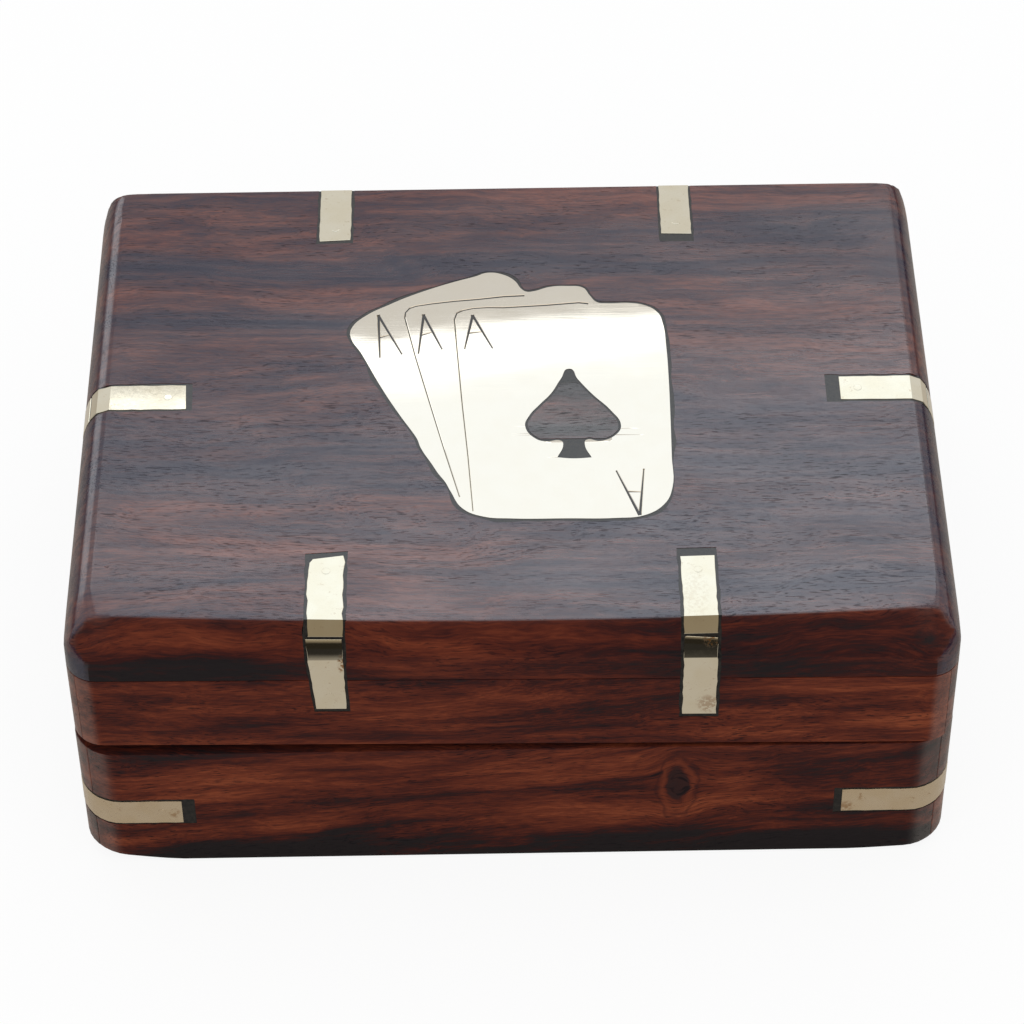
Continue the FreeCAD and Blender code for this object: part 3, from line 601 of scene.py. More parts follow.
def rosewood(
    name, grain="X", shift=(0, 0, 0), rise=0.0, lift=0.0, bands=None, places=(), knot=None, polish=0.0
):
    """One board's rosewood. Rise and lift turn the grain, seen from the front and from above."""
    material, tree, shader, place = new_material(name)
    board_place = place
    if knot:
        board_place, knot_distance = push_round_knot(tree, place, *knot)
    along, drift = run_grain(tree, board_place, shift, rise, lift, grain)
    streak = stretch(tree, noise(tree, along, STREAK_NOISE, 3.0, 0.6))
    fibre = stretch(tree, noise(tree, along, FIBRE_NOISE, 3.0, 0.6))
    tone = shade_places(tree, wood_tone(tree, along, streak, fibre, bands), place, drift, places)
    facing = way_it_faces(tree)
    sideways = number(tree, "ABSOLUTE", facing["X"])
    colour = wood_colour(tree, tone, facing["Z"], sideways, bands is not None)
    if knot:
        colour = draw_knot(tree, colour, knot_distance)
    dash = open_pores(tree, along)
    darkness = number(tree, "MULTIPLY", dash, FIGURED_PORE_DARKNESS if bands else PORE_DARKNESS)
    tree.links.new(mix_colour(tree, darkness, colour, PORE_COLOUR), shader.inputs["Base Color"])
    tree.links.new(spread(tree, fibre, 0.0, 1.0, 0.45, 0.65), shader.inputs["Roughness"])
    height = number(tree, "SUBTRACT", number(tree, "MULTIPLY", fibre, FIBRE_HEIGHT), dash)
    bump = add_node(tree, "Bump", {"Height": height, "Strength": 0.35, "Distance": WOOD_BUMP})
    tree.links.new(bump.outputs[0], shader.inputs["Normal"])
    tree.links.new(bump.outputs[0], shader.inputs["Coat Normal"])
    shader.inputs["Specular IOR Level"].default_value = 0.03
    set_coat(shader)
    wax = wax_over(tree, place, facing["Z"], sideways, streak, dash, polish)
    tree.links.new(wax, shader.inputs["Coat Weight"])
    return material


print("rosewood recipe ready")

# %% [markdown]
# ## Describe the boards
# A maker picks boards by their figure. The top board's bands are written down here as plain lists of places
# and tones, because noise alone never puts a band just where it is wanted. So are the places where a board is
# darker or lighter, such as along the foot of the front wall, and one painted highlight on the top board's
# left slope.

# %% Mix each board's rosewood
# bands across the top, as (distance from the front edge towards the hinges in mm, tone): low is blue-black
LEFT_BANDS = [
    (7, 0.78), (13, 0.5), (19, 0.75), (24, 0.9), (28, 0.45), (32, 0.75), (36, 0.2), (42, 0.12), (49, 0.25),
    (56, 0.4), (63, 0.5), (68, 0.6), (74, 0.8), (79, 0.1), (84, 0.7), (88, 0.75), (92, 0.15), (96, 0.12),
    (101, 0.6), (107, 0.8), (113, 0.4),
]
RIGHT_BANDS = [
    (8, 0.4), (15, 0.15), (21, 0.7), (29, 0.12), (36, 0.5), (41, 0.2), (47, 0.18), (53, 0.12), (59, 0.35),
    (65, 0.5), (72, 0.65), (81, 0.72), (89, 0.5), (93, 0.1), (98, 0.3), (103, 0.1), (108, 0.6), (112, 0.9),
]
BAND_SCALE = 120.0
TOP_BANDS = [[(place / BAND_SCALE, tone) for place, tone in bands] for bands in (LEFT_BANDS, RIGHT_BANDS)]
# centre, radii and how much darker (below 0) or lighter (above 0) the wood is there
# on the top board the last place is a painted highlight: an orange glow of the wax on the left slope
TOP_PATCHES_AND_PAINTED_HIGHLIGHT = [
    ((-62, -58, 49.3), (52, 9, 5.6), -0.47), ((46, -58, 52), (40, 9, 8.0), -0.24),
    ((0, -58, 47), (60, 9, 3), -0.1), ((-75, -18.5, 53.5), (2.6, 5.0, 3.2), 0.5),
]
FRONT_WALL_PLACES = [
    ((-52, -58, 1.5), (30, 9, 5.0), -0.55), ((60, -58, 3), (34, 9, 6.0), -0.42),
    ((8, -58, 2), (62, 9, 8), -0.48), ((38, -58, 22), (9, 9, 5.5), 0.20), ((-46, -58, 19), (28, 9, 8), 0.18),
]
LID_FRONT_PLACES = [((-50, -58, 38), (44, 9, 14), -0.12), ((56, -58, 38), (44, 9, 14), 0.14)]
SPADE_PLACES = [((11, -8, 58), (60, 60, 60), -0.22)]
KNOT = ((28.6, -58.5, 18.6), (2.2, 40.0, 4.6))
wood = {
    "top": rosewood("rosewood_top", bands=TOP_BANDS, lift=0.6, places=TOP_PATCHES_AND_PAINTED_HIGHLIGHT, polish=1.0),
    "lid_front": rosewood("rosewood_lid_front", shift=(40, 7, 3), rise=1.5, places=LID_FRONT_PLACES),
    "lid_back": rosewood("rosewood_lid_back", shift=(90, 31, 11), rise=-1.0),
    "lid_left": rosewood("rosewood_lid_left", grain="Y", shift=(12, 60, 25)),
    "lid_right": rosewood("rosewood_lid_right", grain="Y", shift=(70, 85, 40)),
    "base_front": rosewood(
        "rosewood_base_front", shift=(15, 20, 62), rise=6.0, places=FRONT_WALL_PLACES, knot=KNOT
    ),
    "base_back": rosewood("rosewood_base_back", shift=(55, 44, 80), rise=2.0),
    "base_left": rosewood("rosewood_base_left", grain="Y", shift=(33, 19, 96)),
    "base_right": rosewood("rosewood_base_right", grain="Y", shift=(81, 52, 14)),
    "floor": rosewood("rosewood_floor", shift=(24, 71, 8)),
    "divider": rosewood("rosewood_divider", grain="Y", shift=(66, 13, 57)),
    "spade": rosewood("rosewood_spade", shift=(7, 36, 70), places=SPADE_PLACES, polish=1.2),
}
print("boards mixed:", len(wood))

# %% [markdown]
# ## Brass
# The brass is pale and polished almost to a mirror. What tells it from plain chrome is its tint, a few brown
# stains and the faint lines of the last rub. Near the bends of the two front straps of the lid a dark
# reflection is painted on in the stain colour. Those lines of the rub are a very shallow bump: on a mirror a
# slope of a thousandth is already seen. The plate is the smoothest, the straps wave a little, and the lower
# corner straps and the hinges are duller; the corner straps are also darker, partly as painted shade for the
# shaded table near the box that they mirror.

# %% Mix the brass
# brown of the stains, also laid on as painted dark reflections on two front straps
STAIN_AND_DARK_REFLECTION_COLOUR = (0.30, 0.15, 0.05, 1)
TARNISH = (0.90, 0.84, 0.72)
STAIN_SPOTS = (0.9, 0.9, 0.9)
STAIN_SPECKS = (1.7, 1.7, 1.7)
TARNISH_CLOUDS = (0.25, 0.25, 0.25)
HAMMER_WAVES = (0.07, 0.10, 0.10)


def stains_and_dark_reflections(tree, place, stains, places):
    """How stained the brass is, with painted dark reflections: scattered spots, and a ragged patch at each
    (centre, radii, amount).
    """
    spots = spread(tree, noise(tree, place, STAIN_SPOTS, 3.0, 0.7), 0.60, 0.76)
    speckle = spread(tree, noise(tree, place, STAIN_SPECKS, 3.0), 0.42, 0.58, 0.1, 1.0)
    stain_and_dark_reflection = number(tree, "MULTIPLY", spots, stains)
    for centre, radii, amount in places:
        ragged = number(tree, "MULTIPLY", patch(tree, place, centre, radii, 0.6), amount)
        stain_and_dark_reflection = number(tree, "MAXIMUM", stain_and_dark_reflection, number(tree, "MULTIPLY", ragged, speckle))
    return stain_and_dark_reflection


def brass(name, tint, rubbed, stains=0.0, roughness=0.07, wave=0.000012, scratch=0.0000012, places=()):
    """Pale polished brass. Rubbed is how dense its fine lines are along each axis, per millimetre."""
    material, tree, shader, place = new_material(name)
    lines = noise(tree, place, rubbed, 2.0, 0.6)
    waves = noise(tree, place, HAMMER_WAVES, 1.0)
    stain_and_dark_reflection = stains_and_dark_reflections(tree, place, stains, places)
    cloud = spread(tree, noise(tree, place, TARNISH_CLOUDS, 2.0), 0.3, 0.7, 0.0, 0.08 + 0.7 * stains)
    darker = tuple(part * share for part, share in zip(tint, TARNISH))
    colour = mix_colour(tree, cloud, (*tint, 1), (*darker, 1))
    tree.links.new(mix_colour(tree, stain_and_dark_reflection, colour, STAIN_AND_DARK_REFLECTION_COLOUR), shader.inputs["Base Color"])
    shader.inputs["Metallic"].default_value = 1.0
    rough = spread(tree, lines, 0.3, 0.7, roughness * 0.8, roughness * 1.3)
    rough = number(tree, "ADD", rough, number(tree, "MULTIPLY", stain_and_dark_reflection, 0.3))
    tree.links.new(rough, shader.inputs["Roughness"])
    fine = add_node(tree, "Bump", {"Height": lines, "Strength": 1.0, "Distance": scratch}).outputs[0]
    slow = {"Height": waves, "Strength": 1.0, "Distance": wave, "Normal": fine}
    tree.links.new(add_node(tree, "Bump", slow).outputs[0], shader.inputs["Normal"])
    return material


# places where the brass is stained, and two painted dark reflections near the bends of the front straps:
# centre, radii, how strongly
STRAP_STAINS_AND_DARK_REFLECTIONS = [
    ((-28.9, -58.5, 52.0), (0.9, 3, 2.8), 0.9), ((33.3, -56.8, 55.0), (2.0, 2.5, 1.5), 1.0),
    ((33.2, -58.5, 40.5), (2.6, 2, 3), 0.5), ((31.0, -50.0, 58.5), (3.0, 8, 2), 0.12),
]
CORNER_PLACES = [((-59.8, -58.5, 13.5), (1.3, 2, 1.6), 0.55), ((58.2, -58.5, 12.5), (1.6, 2, 1.8), 0.6)]
plate_brass = brass("brass_plate", (0.74, 0.69, 0.60), (0.12, 3.0, 3.0), roughness=0.03, scratch=0.0000003)
strap_brass = brass(
    "brass_straps", (0.75, 0.70, 0.57), (1.2, 1.2, 1.2), 0.30, 0.05, wave=0.000016, scratch=0.0000006,
    places=STRAP_STAINS_AND_DARK_REFLECTIONS,
)
# the corner straps' darker, browner tint is partly duller brass and partly painted shade for the shaded table
# near the box that they mirror
corner_brass = brass(
    "brass_corner_straps", (0.60, 0.50, 0.365), (1.2, 1.2, 1.2), 0.5, 0.24, places=CORNER_PLACES,
)
hinge_brass = brass("brass_hinges", (0.74, 0.62, 0.38), (0.4, 3.0, 3.0), stains=0.2, roughness=0.25)
print("kinds of brass mixed:", len({plate_brass, strap_brass, corner_brass, hinge_brass}))

# %% [markdown]
# ## Filler and felt
# The dark filler is what the maker pressed round the brass to close the gaps: a matt paste, which takes wax
# only where it lies flat on top. The felt is a short red nap. It could be made of thousands of hairs, but at
# this size fine noise, a rough surface and the shader's sheen, which catches light at the edges, look the
# same.

# %% Mix the filler and the felt
FILLER_WAX = (0.55, 0.97, 0.05, 0.45)


def filler_paste():
    """Dark set filler, slightly grainy, waxed over with the wood."""
    material, tree, shader, place = new_material("dark_filler")
    grain = noise(tree, place, (1.5, 1.5, 1.5), 3.0, 0.6)
    stops = [(0.35, (0.008, 0.008, 0.008)), (0.65, (0.024, 0.021, 0.018))]
    tree.links.new(ramp(tree, grain, stops), shader.inputs["Base Color"])
    tree.links.new(spread(tree, grain, 0.3, 0.7, 0.5, 0.7), shader.inputs["Roughness"])
    bump = add_node(tree, "Bump", {"Height": grain, "Strength": 0.5, "Distance": 0.00005})
    tree.links.new(bump.outputs[0], shader.inputs["Normal"])
    shader.inputs["Specular IOR Level"].default_value = 0.1
    tree.links.new(spread(tree, way_it_faces(tree)["Z"], *FILLER_WAX), shader.inputs["Coat Weight"])
    set_coat(shader)
    return material


def felt_nap():
    """Wine-red felt: short fibres that lie every way, in soft clouds of tone."""
    material, tree, shader, place = new_material("red_felt")
    hair = noise(tree, place, (5.0, 5.0, 5.0), 4.0, 0.7)
    cloud = noise(tree, place, (0.12, 0.12, 0.12), 2.0)
    tone = weighted(tree, (hair, 0.75), (cloud, 0.25))
    stops = [(0.30, (0.10, 0.006, 0.010)), (0.52, (0.25, 0.020, 0.030)), (0.75, (0.42, 0.055, 0.065))]
    tree.links.new(ramp(tree, tone, stops), shader.inputs["Base Color"])
    shader.inputs["Roughness"].default_value = 0.95
    shader.inputs["Specular IOR Level"].default_value = 0.1
    shader.inputs["Sheen Weight"].default_value = 0.35
    shader.inputs["Sheen Roughness"].default_value = 0.5
    bump = add_node(tree, "Bump", {"Height": hair, "Strength": 0.8, "Distance": 0.0002})
    tree.links.new(bump.outputs[0], shader.inputs["Normal"])
    return material


dark_filler = filler_paste()
red_felt = felt_nap()
print("filler and felt mixed")

# %% [markdown]
# ## Tools for shaping wood and brass
# Every piece starts as a plain block or sheet at its size and place. In edit mode its faces and edges are
# picked, and then moved, bevelled or drawn out. By hand they would be picked with the mouse. Here they are
# picked by where they are, so the same pick works again after a size has changed.

# %% Pick and move
def make_active(piece):
    """Select this piece alone."""
    for item in list(bpy.context.selected_objects):
        item.select_set(False)
    bpy.context.view_layer.objects.active = piece
    piece.select_set(True)


def put_all_down():
    """Deselect all but the camera, because an operator acts on everything that is selected."""
    make_active(camera)


def settle(piece):
    """Write the piece's place, turn and size into its mesh."""
    make_active(piece)
    bpy.ops.object.transform_apply(location=True, rotation=True, scale=True)
    return piece


def add_block(name, near, far):
    """A block between two corners, in millimetres."""
    put_all_down()
    near, far = mm(*near), mm(*far)
    bpy.ops.mesh.primitive_cube_add(size=1.0, location=(near + far) / 2)
    block = bpy.context.object
    block.name = name
    block.scale = far - near
    return settle(block)


def edit(piece, kind):
    """Open a piece in edit mode to pick faces, edges or points, with nothing picked yet."""
    make_active(piece)
    bpy.ops.object.mode_set(mode="EDIT")
    bpy.ops.mesh.select_mode(type=kind)
    bpy.ops.mesh.select_all(action="DESELECT")


def leave():
    """Back from edit mode."""
    bpy.ops.object.mode_set(mode="OBJECT")


def middle(item):
    """The middle of a face, an edge or a point, in millimetres."""
    corners = item.verts if hasattr(item, "verts") else [item]
    return sum((corner.co for corner in corners), Vector()) / len(corners) * 1000


def pick(piece, kind, rule):
    """Select what passes the rule, and say how many did."""
    work = bmesh.from_edit_mesh(piece.data)
    items = {"FACE": work.faces, "EDGE": work.edges, "VERT": work.verts}[kind]
    chosen = [item for item in items if rule(item)]
    for item in chosen:
        item.select_set(True)
    bmesh.update_edit_mesh(piece.data)
    return len(chosen)


print("picking tools ready")

# %% [markdown]
# ## Tools for cutting and softening
# A straight saw cut is a bisect: it divides a piece along a plane, and can drop one side. A pocket needs a
# second piece as its cutter and a boolean. Real edges are never quite sharp, so each piece gets a fine bevel,
# which is what catches the light. Every modifier is applied at once: the next step then works on a plain
# mesh.

# %% Cut, soften and smooth
ON_PLANE = 1e-7
SAME_POINT = 1e-6


def shape_with(piece, kind, **settings):
    """Add a modifier and apply it."""
    make_active(piece)
    step = piece.modifiers.new(kind.lower(), kind)
    for key, value in settings.items():
        setattr(step, key, value)
    bpy.ops.object.modifier_apply(modifier=step.name)


def cut_with(piece, *cutters, keep=False):
    """Cut these shapes out of the piece."""
    for cutter in cutters:
        shape_with(piece, "BOOLEAN", object=cutter, operation="DIFFERENCE", solver="EXACT")
        if not keep:
            bpy.data.objects.remove(cutter)


def bisect(piece, place, normal, clear=False):
    """Saw through a piece along a plane. With clear, the side the normal points to falls away."""
    edit(piece, "FACE")
    bpy.ops.mesh.select_all(action="SELECT")
    normal = Vector(normal).normalized()
    bpy.ops.mesh.bisect(
        plane_co=mm(*place), plane_no=normal, use_fill=clear, clear_outer=clear, threshold=ON_PLANE
    )
    leave()


def rule_lines(piece, spacing, half_width, half_depth, middle_y=0.0):
    """Draw a grid of edges over a piece, so that its flat faces can bend."""
    across, along = int(half_width // spacing), int(half_depth // spacing)
    for count in range(-across, across + 1):
        bisect(piece, (count * spacing, 0, 0), (1, 0, 0))
    for count in range(-along, along + 1):
        bisect(piece, (0, middle_y + count * spacing, 0), (0, 1, 0))


def soften(piece, width, segments=2, angle=40.0):
    """Round the sharp edges a little."""
    limit = math.radians(angle)
    shape_with(piece, "BEVEL", width=mm(width), segments=segments, limit_method="ANGLE", angle_limit=limit)


def smooth(piece, angle=32.0):
    """Shade round stretches smooth and keep the sharp edges."""
    make_active(piece)
    bpy.ops.object.shade_smooth_by_angle(angle=math.radians(angle))


def turn_out(piece):
    """Weld doubles and make every face point outwards."""
    edit(piece, "FACE")
    bpy.ops.mesh.select_all(action="SELECT")
    bpy.ops.mesh.remove_doubles(threshold=SAME_POINT)
    bpy.ops.mesh.normals_make_consistent(inside=False)
    leave()


def copy_piece(piece, name):
    """A copy with its own mesh."""
    make_active(piece)
    bpy.ops.object.duplicate()
    copy = bpy.context.object
    copy.name = name
    return copy


def join_pieces(name, pieces):
    """Make one piece of several."""
    make_active(pieces[0])
    for piece in pieces[1:]:
        piece.select_set(True)
    bpy.ops.object.join()
    pieces[0].name = name
    return pieces[0]


def spin_round(piece, degrees, axis="Z"):
    """Turn a piece round the middle of the box."""
    piece.matrix_world = Matrix.Rotation(math.radians(degrees), 4, axis) @ piece.matrix_world
    return settle(piece)


print("cutting tools ready")

# %% [markdown]
# ## The lid that warped
# The lid has warped with age: its front left corner stands 2.5 mm higher than the rest, so the gap over the
# lower half is a wedge that closes to the right. Moving each piece by hand would open gaps between them. A
# lattice bends all the lid's pieces by the same amount: it is a cage of eight points, and only the two at
# that corner are lifted. Along the back nothing moves, so the hinges still fit.

# %% Make the cage that lifts one corner
LIFT_BELOW = 2.5
LIFT_ABOVE = 1.85
put_all_down()
cage_height = TOP - LID_BOTTOM
bpy.ops.object.add(type="LATTICE", location=mm(0, 0, (TOP + LID_BOTTOM) / 2))
cage = bpy.context.object
cage.name = "lid_cage"
cage.scale = mm(HALF_WIDTH * 2, HALF_DEPTH * 2, cage_height)
for axis in "uvw":
    setattr(cage.data, "interpolation_type_" + axis, "KEY_LINEAR")
for point in cage.data.points:
    if point.co.x < 0 and point.co.y < 0:
        point.co_deform.z += (LIFT_ABOVE if point.co.z > 0 else LIFT_BELOW) / cage_height
print("lifted points:", sum(p.co.z != p.co_deform.z for p in cage.data.points), "of", len(cage.data.points))

# %% [markdown]
# ## Years of wear, and the last step of every piece
# The front slope was planed by eye, so its upper edge wanders, and the four corners of the lid are rubbed
# down. A sculpting brush could do that, but it would have to hit the wood, the brass in it and the filler
# alike. One rule that moves points by where they are keeps them all flush. After that every piece ends the
# same way: it is smoothed, given its finish and told which half of the box it moves with.

# %% Wear by hand and finish a piece
SLOPE_FOOT = 51.0
# the upper edge of the front slope: how far back it lies at the middle, and how that changes to the sides
CREST_WANDER = (-0.55, 0.30, 2.65)
CREST_ENDS = 0.93
CREST_FADE_START = -42.0
CREST_FADE = 11.0
# corner, how far the wear reaches, and what share of the height is lost there
WORN_CORNERS = [
    ((-76, -58.5), 12.5, 0.17), ((76, -58.5), 11.5, 0.17), ((-76, 58.5), 8, 0.06), ((76, 58.5), 8, 0.06),
]


def ease(share):
    """0 to 1 with a soft start and a soft end."""
    share = max(0.0, min(1.0, share))
    return share * share * (3 - 2 * share)


def wear_lid(piece):
    """Let the upper edge of the front slope wander, and rub the corners down."""
    for point in piece.data.vertices:
        x, y, z = point.co * 1000
        sideways = max(-CREST_ENDS, min(CREST_ENDS, x / HALF_WIDTH))
        wander = sum(factor * sideways ** power for power, factor in enumerate(CREST_WANDER))
        height = max(0.0, min(1.0, (z - SLOPE_FOOT) / (TOP - SLOPE_FOOT)))
        y += wander * height * ease((CREST_FADE_START - y) / CREST_FADE)
        if z > SEAM:
            for corner, reach, lost in WORN_CORNERS:
                near = ease(1 - math.dist(corner, (x, y)) / reach)
                z -= (z - SEAM) * lost * near
        point.co = mm(x, y, z)


def finish_piece(piece, body, finish, slot, *nodes, angle=32.0):
    """Give a piece its finish, its place on a body and the parts it stands for."""
    if body == "lid":
        wear_lid(piece)
        shape_with(piece, "LATTICE", object=cage)
    smooth(piece, angle)
    shape_with(piece, "WEIGHTED_NORMAL", keep_sharp=True)
    piece.data.materials.clear()
    piece.data.materials.append(finish)
    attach(piece, body)
    if nodes:
        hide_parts(*nodes)
    print(piece.name, "faces:", len(piece.data.polygons))
    return piece


print("corners that are worn:", len(WORN_CORNERS))

# %% [markdown]
# ## A ring of four mitred boards
# The lower half and the lid's sides are made the same way: a block with rounded upright edges, hollowed out,
# and then sawn at 45 degrees into four boards. Real boards are sawn first and glued after, but cutting one
# ring keeps the outside flush. Each board then gets its edges broken, so that the joints show as fine lines.

# %% Make a hollow ring
OVERCUT = 5


def round_uprights(piece, radius):
    """Round a block's four upright edges."""
    edit(piece, "EDGE")
    pick(piece, "EDGE", lambda edge: abs(edge.verts[0].co.z - edge.verts[1].co.z) > mm(0.1))
    bpy.ops.mesh.bevel(offset=mm(radius), segments=8, affect="EDGES")
    leave()


def add_ring(name, half_width, bottom, top, radius):
    """A rounded block with its inside cut away."""
    ring = add_block(name, (-half_width, -HALF_DEPTH, bottom), (half_width, HALF_DEPTH, top))
    round_uprights(ring, radius)
    inside_x, inside_y = HALF_WIDTH - WALL, HALF_DEPTH - WALL
    near, far = (-inside_x, -inside_y, bottom - OVERCUT), (inside_x, inside_y, top + OVERCUT)
    cut_with(ring, add_block("hollow", near, far))
    return ring


def saw_boards(ring, names, edge):
    """Saw a ring into its front, back, left and right boards. The right board mirrors the left."""
    corner = (HALF_WIDTH, HALF_DEPTH, 0)
    boards = {}
    for name, along in zip(names, ((0, -1), (0, 1), (-1, 0))):
        board = copy_piece(ring, name)
        for turn_side in (-1, 1):
            across = (turn_side, 0) if along[0] == 0 else (0, turn_side)
            place = [(a + c) * half for a, c, half in zip(along, across, corner[:2])] + [0]
            normal = (across[0] - along[0], across[1] - along[1], 0)
            bisect(board, place, normal, clear=True)
        soften(board, edge)
        boards[name] = board
    mirrored_board = copy_piece(board, names[3])
    mirrored_board.scale.x = -1
    boards[names[3]] = settle(mirrored_board)
    turn_out(mirrored_board)
    bpy.data.objects.remove(ring)
    return boards


base_ring = add_ring("base_ring", BASE_HALF_WIDTH, 0.0, RIM, BASE_CORNER)
lid_ring = add_ring("lid_ring", HALF_WIDTH, LID_BOTTOM, SEAM, LID_CORNER)
print("rings:", [len(ring.data.polygons) for ring in (base_ring, lid_ring)])

# %% [markdown]
# ## Room for the hinges, the floor and the divider
# Both halves have a slope along their back edges, so that the lid can tip back. The hinge leaves lie in
# shallow seats, and the knuckles in a round groove. The floor panel lies in a step, and the divider in two
# slots. A maker cuts these with a chisel and a saw. Here blocks and a cylinder do it, before the ring is
# sawn, so that a cut that crosses a joint lines up on both boards.

# %% Cut the seats
BACK_SLOPE = 1.1
HINGE_X = 46.0
HINGE_LINE = (57.5, 29.35)
HALF_SEAT = 11.1
SEAT_FRONT, SEAT_BACK, SEAT_DEPTH = 51.4, 60, 1
GROOVE_RADIUS, GROOVE_LENGTH = 1.85, 23.1
FLOOR_STEP = ((-71, -53.5, -1), (71, 53.5, 5))
DIVIDER = ((-2, -52.5, 5), (2, 52.5, 27.2))


def knuckle_groove(side):
    """A round bar on the hinge's line, to cut the groove for its knuckles."""
    put_all_down()
    place = mm(side * HINGE_X, *HINGE_LINE)
    bpy.ops.mesh.primitive_cylinder_add(
        radius=mm(GROOVE_RADIUS), depth=mm(GROOVE_LENGTH), vertices=24, location=place
    )
    bar = bpy.context.object
    bar.rotation_euler.y = math.pi / 2
    return settle(bar)


for ring, height, up in ((base_ring, RIM, 1), (lid_ring, LID_BOTTOM, -1)):
    bisect(ring, (0, HALF_DEPTH - BACK_SLOPE, height), (0, 1, up), clear=True)
    for side in (-1, 1):
        near = (side * HINGE_X - HALF_SEAT, SEAT_FRONT, height - SEAT_DEPTH)
        far = (side * HINGE_X + HALF_SEAT, SEAT_BACK, height + SEAT_DEPTH)
        cut_with(ring, add_block("hinge_seat", near, far), knuckle_groove(side))
cut_with(base_ring, add_block("floor_step", *FLOOR_STEP), add_block("divider_slot", *DIVIDER))
print("faces after cutting:", len(base_ring.data.polygons), len(lid_ring.data.polygons))

# %% [markdown]
# ## Worn feet, and the boards
# The box has been pushed about on tables, so the edge that it stands on is rounded and its corners are rubbed
# away, most at the front left. A flat face can't be worn, because it has points only at its corners. So a few
# extra lines are ruled over the walls first, and the points on them are then lifted. The rings are also sawn
# into their boards here.

# %% Rub the foot down and saw both rings into boards
# corner and how far its foot is rubbed away
WORN_FEET = [((-76.4, -58.5), 2.4), ((76.4, -58.5), 1.1), ((-76.4, 58.5), 0.6), ((76.4, 58.5), 0.6)]
FOOT_REACH = 19.0
FOOT_HEIGHT = 5.5
FOOT_CURVE = 1.5
# the foot is what lies outside the step for the floor
FOOT_X, FOOT_Y = 71.5, 54.0
# where lines are ruled: in from the outside, and up from the table
WEAR_LINES_IN = (8, 11, 14, 17)
WEAR_LINES_UP = (1.6, 3.4, FOOT_HEIGHT)
WALL_EDGE, RAIL_EDGE = 0.16, 0.15


def soften_foot(ring, width):
    """Round the outer edge that the box stands on."""

    def on_foot(edge):
        place = middle(edge)
        outside = abs(place.x) > FOOT_X or abs(place.y) > FOOT_Y
        return outside and all(abs(v.co.z) < mm(0.01) for v in edge.verts)

    edit(ring, "EDGE")
    pick(ring, "EDGE", on_foot)
    bpy.ops.mesh.bevel(offset=mm(width), segments=3, affect="EDGES")
    leave()


def wear_feet(wall):
    """Rub the corners of the foot away, most at the front left."""
    for side in (-1, 1):
        for distance in WEAR_LINES_IN:
            bisect(wall, (side * (HALF_WIDTH - distance), 0, 0), (1, 0, 0))
            bisect(wall, (0, side * (HALF_DEPTH - distance), 0), (0, 1, 0))
    for height in WEAR_LINES_UP:
        bisect(wall, (0, 0, height), (0, 0, 1))
    for point in wall.data.vertices:
        x, y, z = point.co * 1000
        if z < FOOT_HEIGHT and (abs(x) > FOOT_X or abs(y) > FOOT_Y):
            for corner, lost in WORN_FEET:
                near = ease(1 - math.dist(corner, (x, y)) / FOOT_REACH)
                z += lost * near * (1 - z / FOOT_HEIGHT) ** FOOT_CURVE
            point.co.z = mm(z)


soften_foot(base_ring, 0.9)
wall_names = ("base_front_board", "base_back_board", "base_left_board", "base_right_board")
rail_names = ("lid_front_board", "lid_back_board", "lid_left_board", "lid_right_board")
walls = saw_boards(base_ring, wall_names, WALL_EDGE)
rails = saw_boards(lid_ring, rail_names, RAIL_EDGE)
for wall in walls.values():
    wear_feet(wall)
print("boards:", sorted(walls) + sorted(rails))

# %% [markdown]
# ## The top board
# The top is one thick board. Its edges are worked with a plane: first a shaving that is nearly upright, then
# flatter and flatter ones, so that the edge becomes a slope at the front and the back and a soft round at the
# left and the right. A bevel would give all four edges the same shape. Here each shaving is one straight cut,
# and where the two kinds of edge meet, the cuts leave the crisp curved line that shows at the corners.

# %% Plane the edges of the top board
# each list climbs the edge: how far in and how high
FRONT_SLOPE = [
    (0.0, SLOPE_FOOT), (0.14, 51.8), (0.45, 52.6), (1.25, 54.2), (2.12, 55.8), (2.78, 57.0), (3.14, 57.6),
    (3.50, 57.90), (3.80, 58.04), (4.15, TOP),
]
SIDE_SLOPE = [
    (0.0, SLOPE_FOOT), (0.12, 51.8), (0.35, 52.6), (0.90, 54.2), (1.75, 55.8), (2.80, 57.0), (3.70, 57.6),
    (4.45, 57.95), (5.20, TOP),
]
RIGHT_SHARE = 0.85
BACK_SHARE = 0.87
SEAM_ROUND = 0.3


def plane_edge(piece, slope, half, toward, share=1.0):
    """Plane one edge in flat cuts. Toward is the way the edge faces."""
    for (in0, z0), (in1, z1) in zip(slope, slope[1:]):
        run, rise = (in1 - in0) * share, z1 - z0
        out = half - in0 * share
        place, normal = (toward[0] * out, toward[1] * out, z0), (toward[0] * rise, toward[1] * rise, run)
        bisect(piece, place, normal, clear=True)


board = add_block("top_board", (-HALF_WIDTH, -HALF_DEPTH, SEAM), (HALF_WIDTH, HALF_DEPTH, TOP))
round_uprights(board, LID_CORNER)
edit(board, "EDGE")
pick(board, "EDGE", lambda edge: all(v.co.z < mm(SEAM + 0.01) for v in edge.verts))
bpy.ops.mesh.bevel(offset=mm(SEAM_ROUND), segments=2, affect="EDGES")
leave()
plane_edge(board, FRONT_SLOPE, HALF_DEPTH, (0, -1))
plane_edge(board, FRONT_SLOPE, HALF_DEPTH, (0, 1), BACK_SHARE)
plane_edge(board, SIDE_SLOPE, HALF_WIDTH, (-1, 0))
plane_edge(board, SIDE_SLOPE, HALF_WIDTH, (1, 0), RIGHT_SHARE)
turn_out(board)
print("top board faces:", len(board.data.polygons))

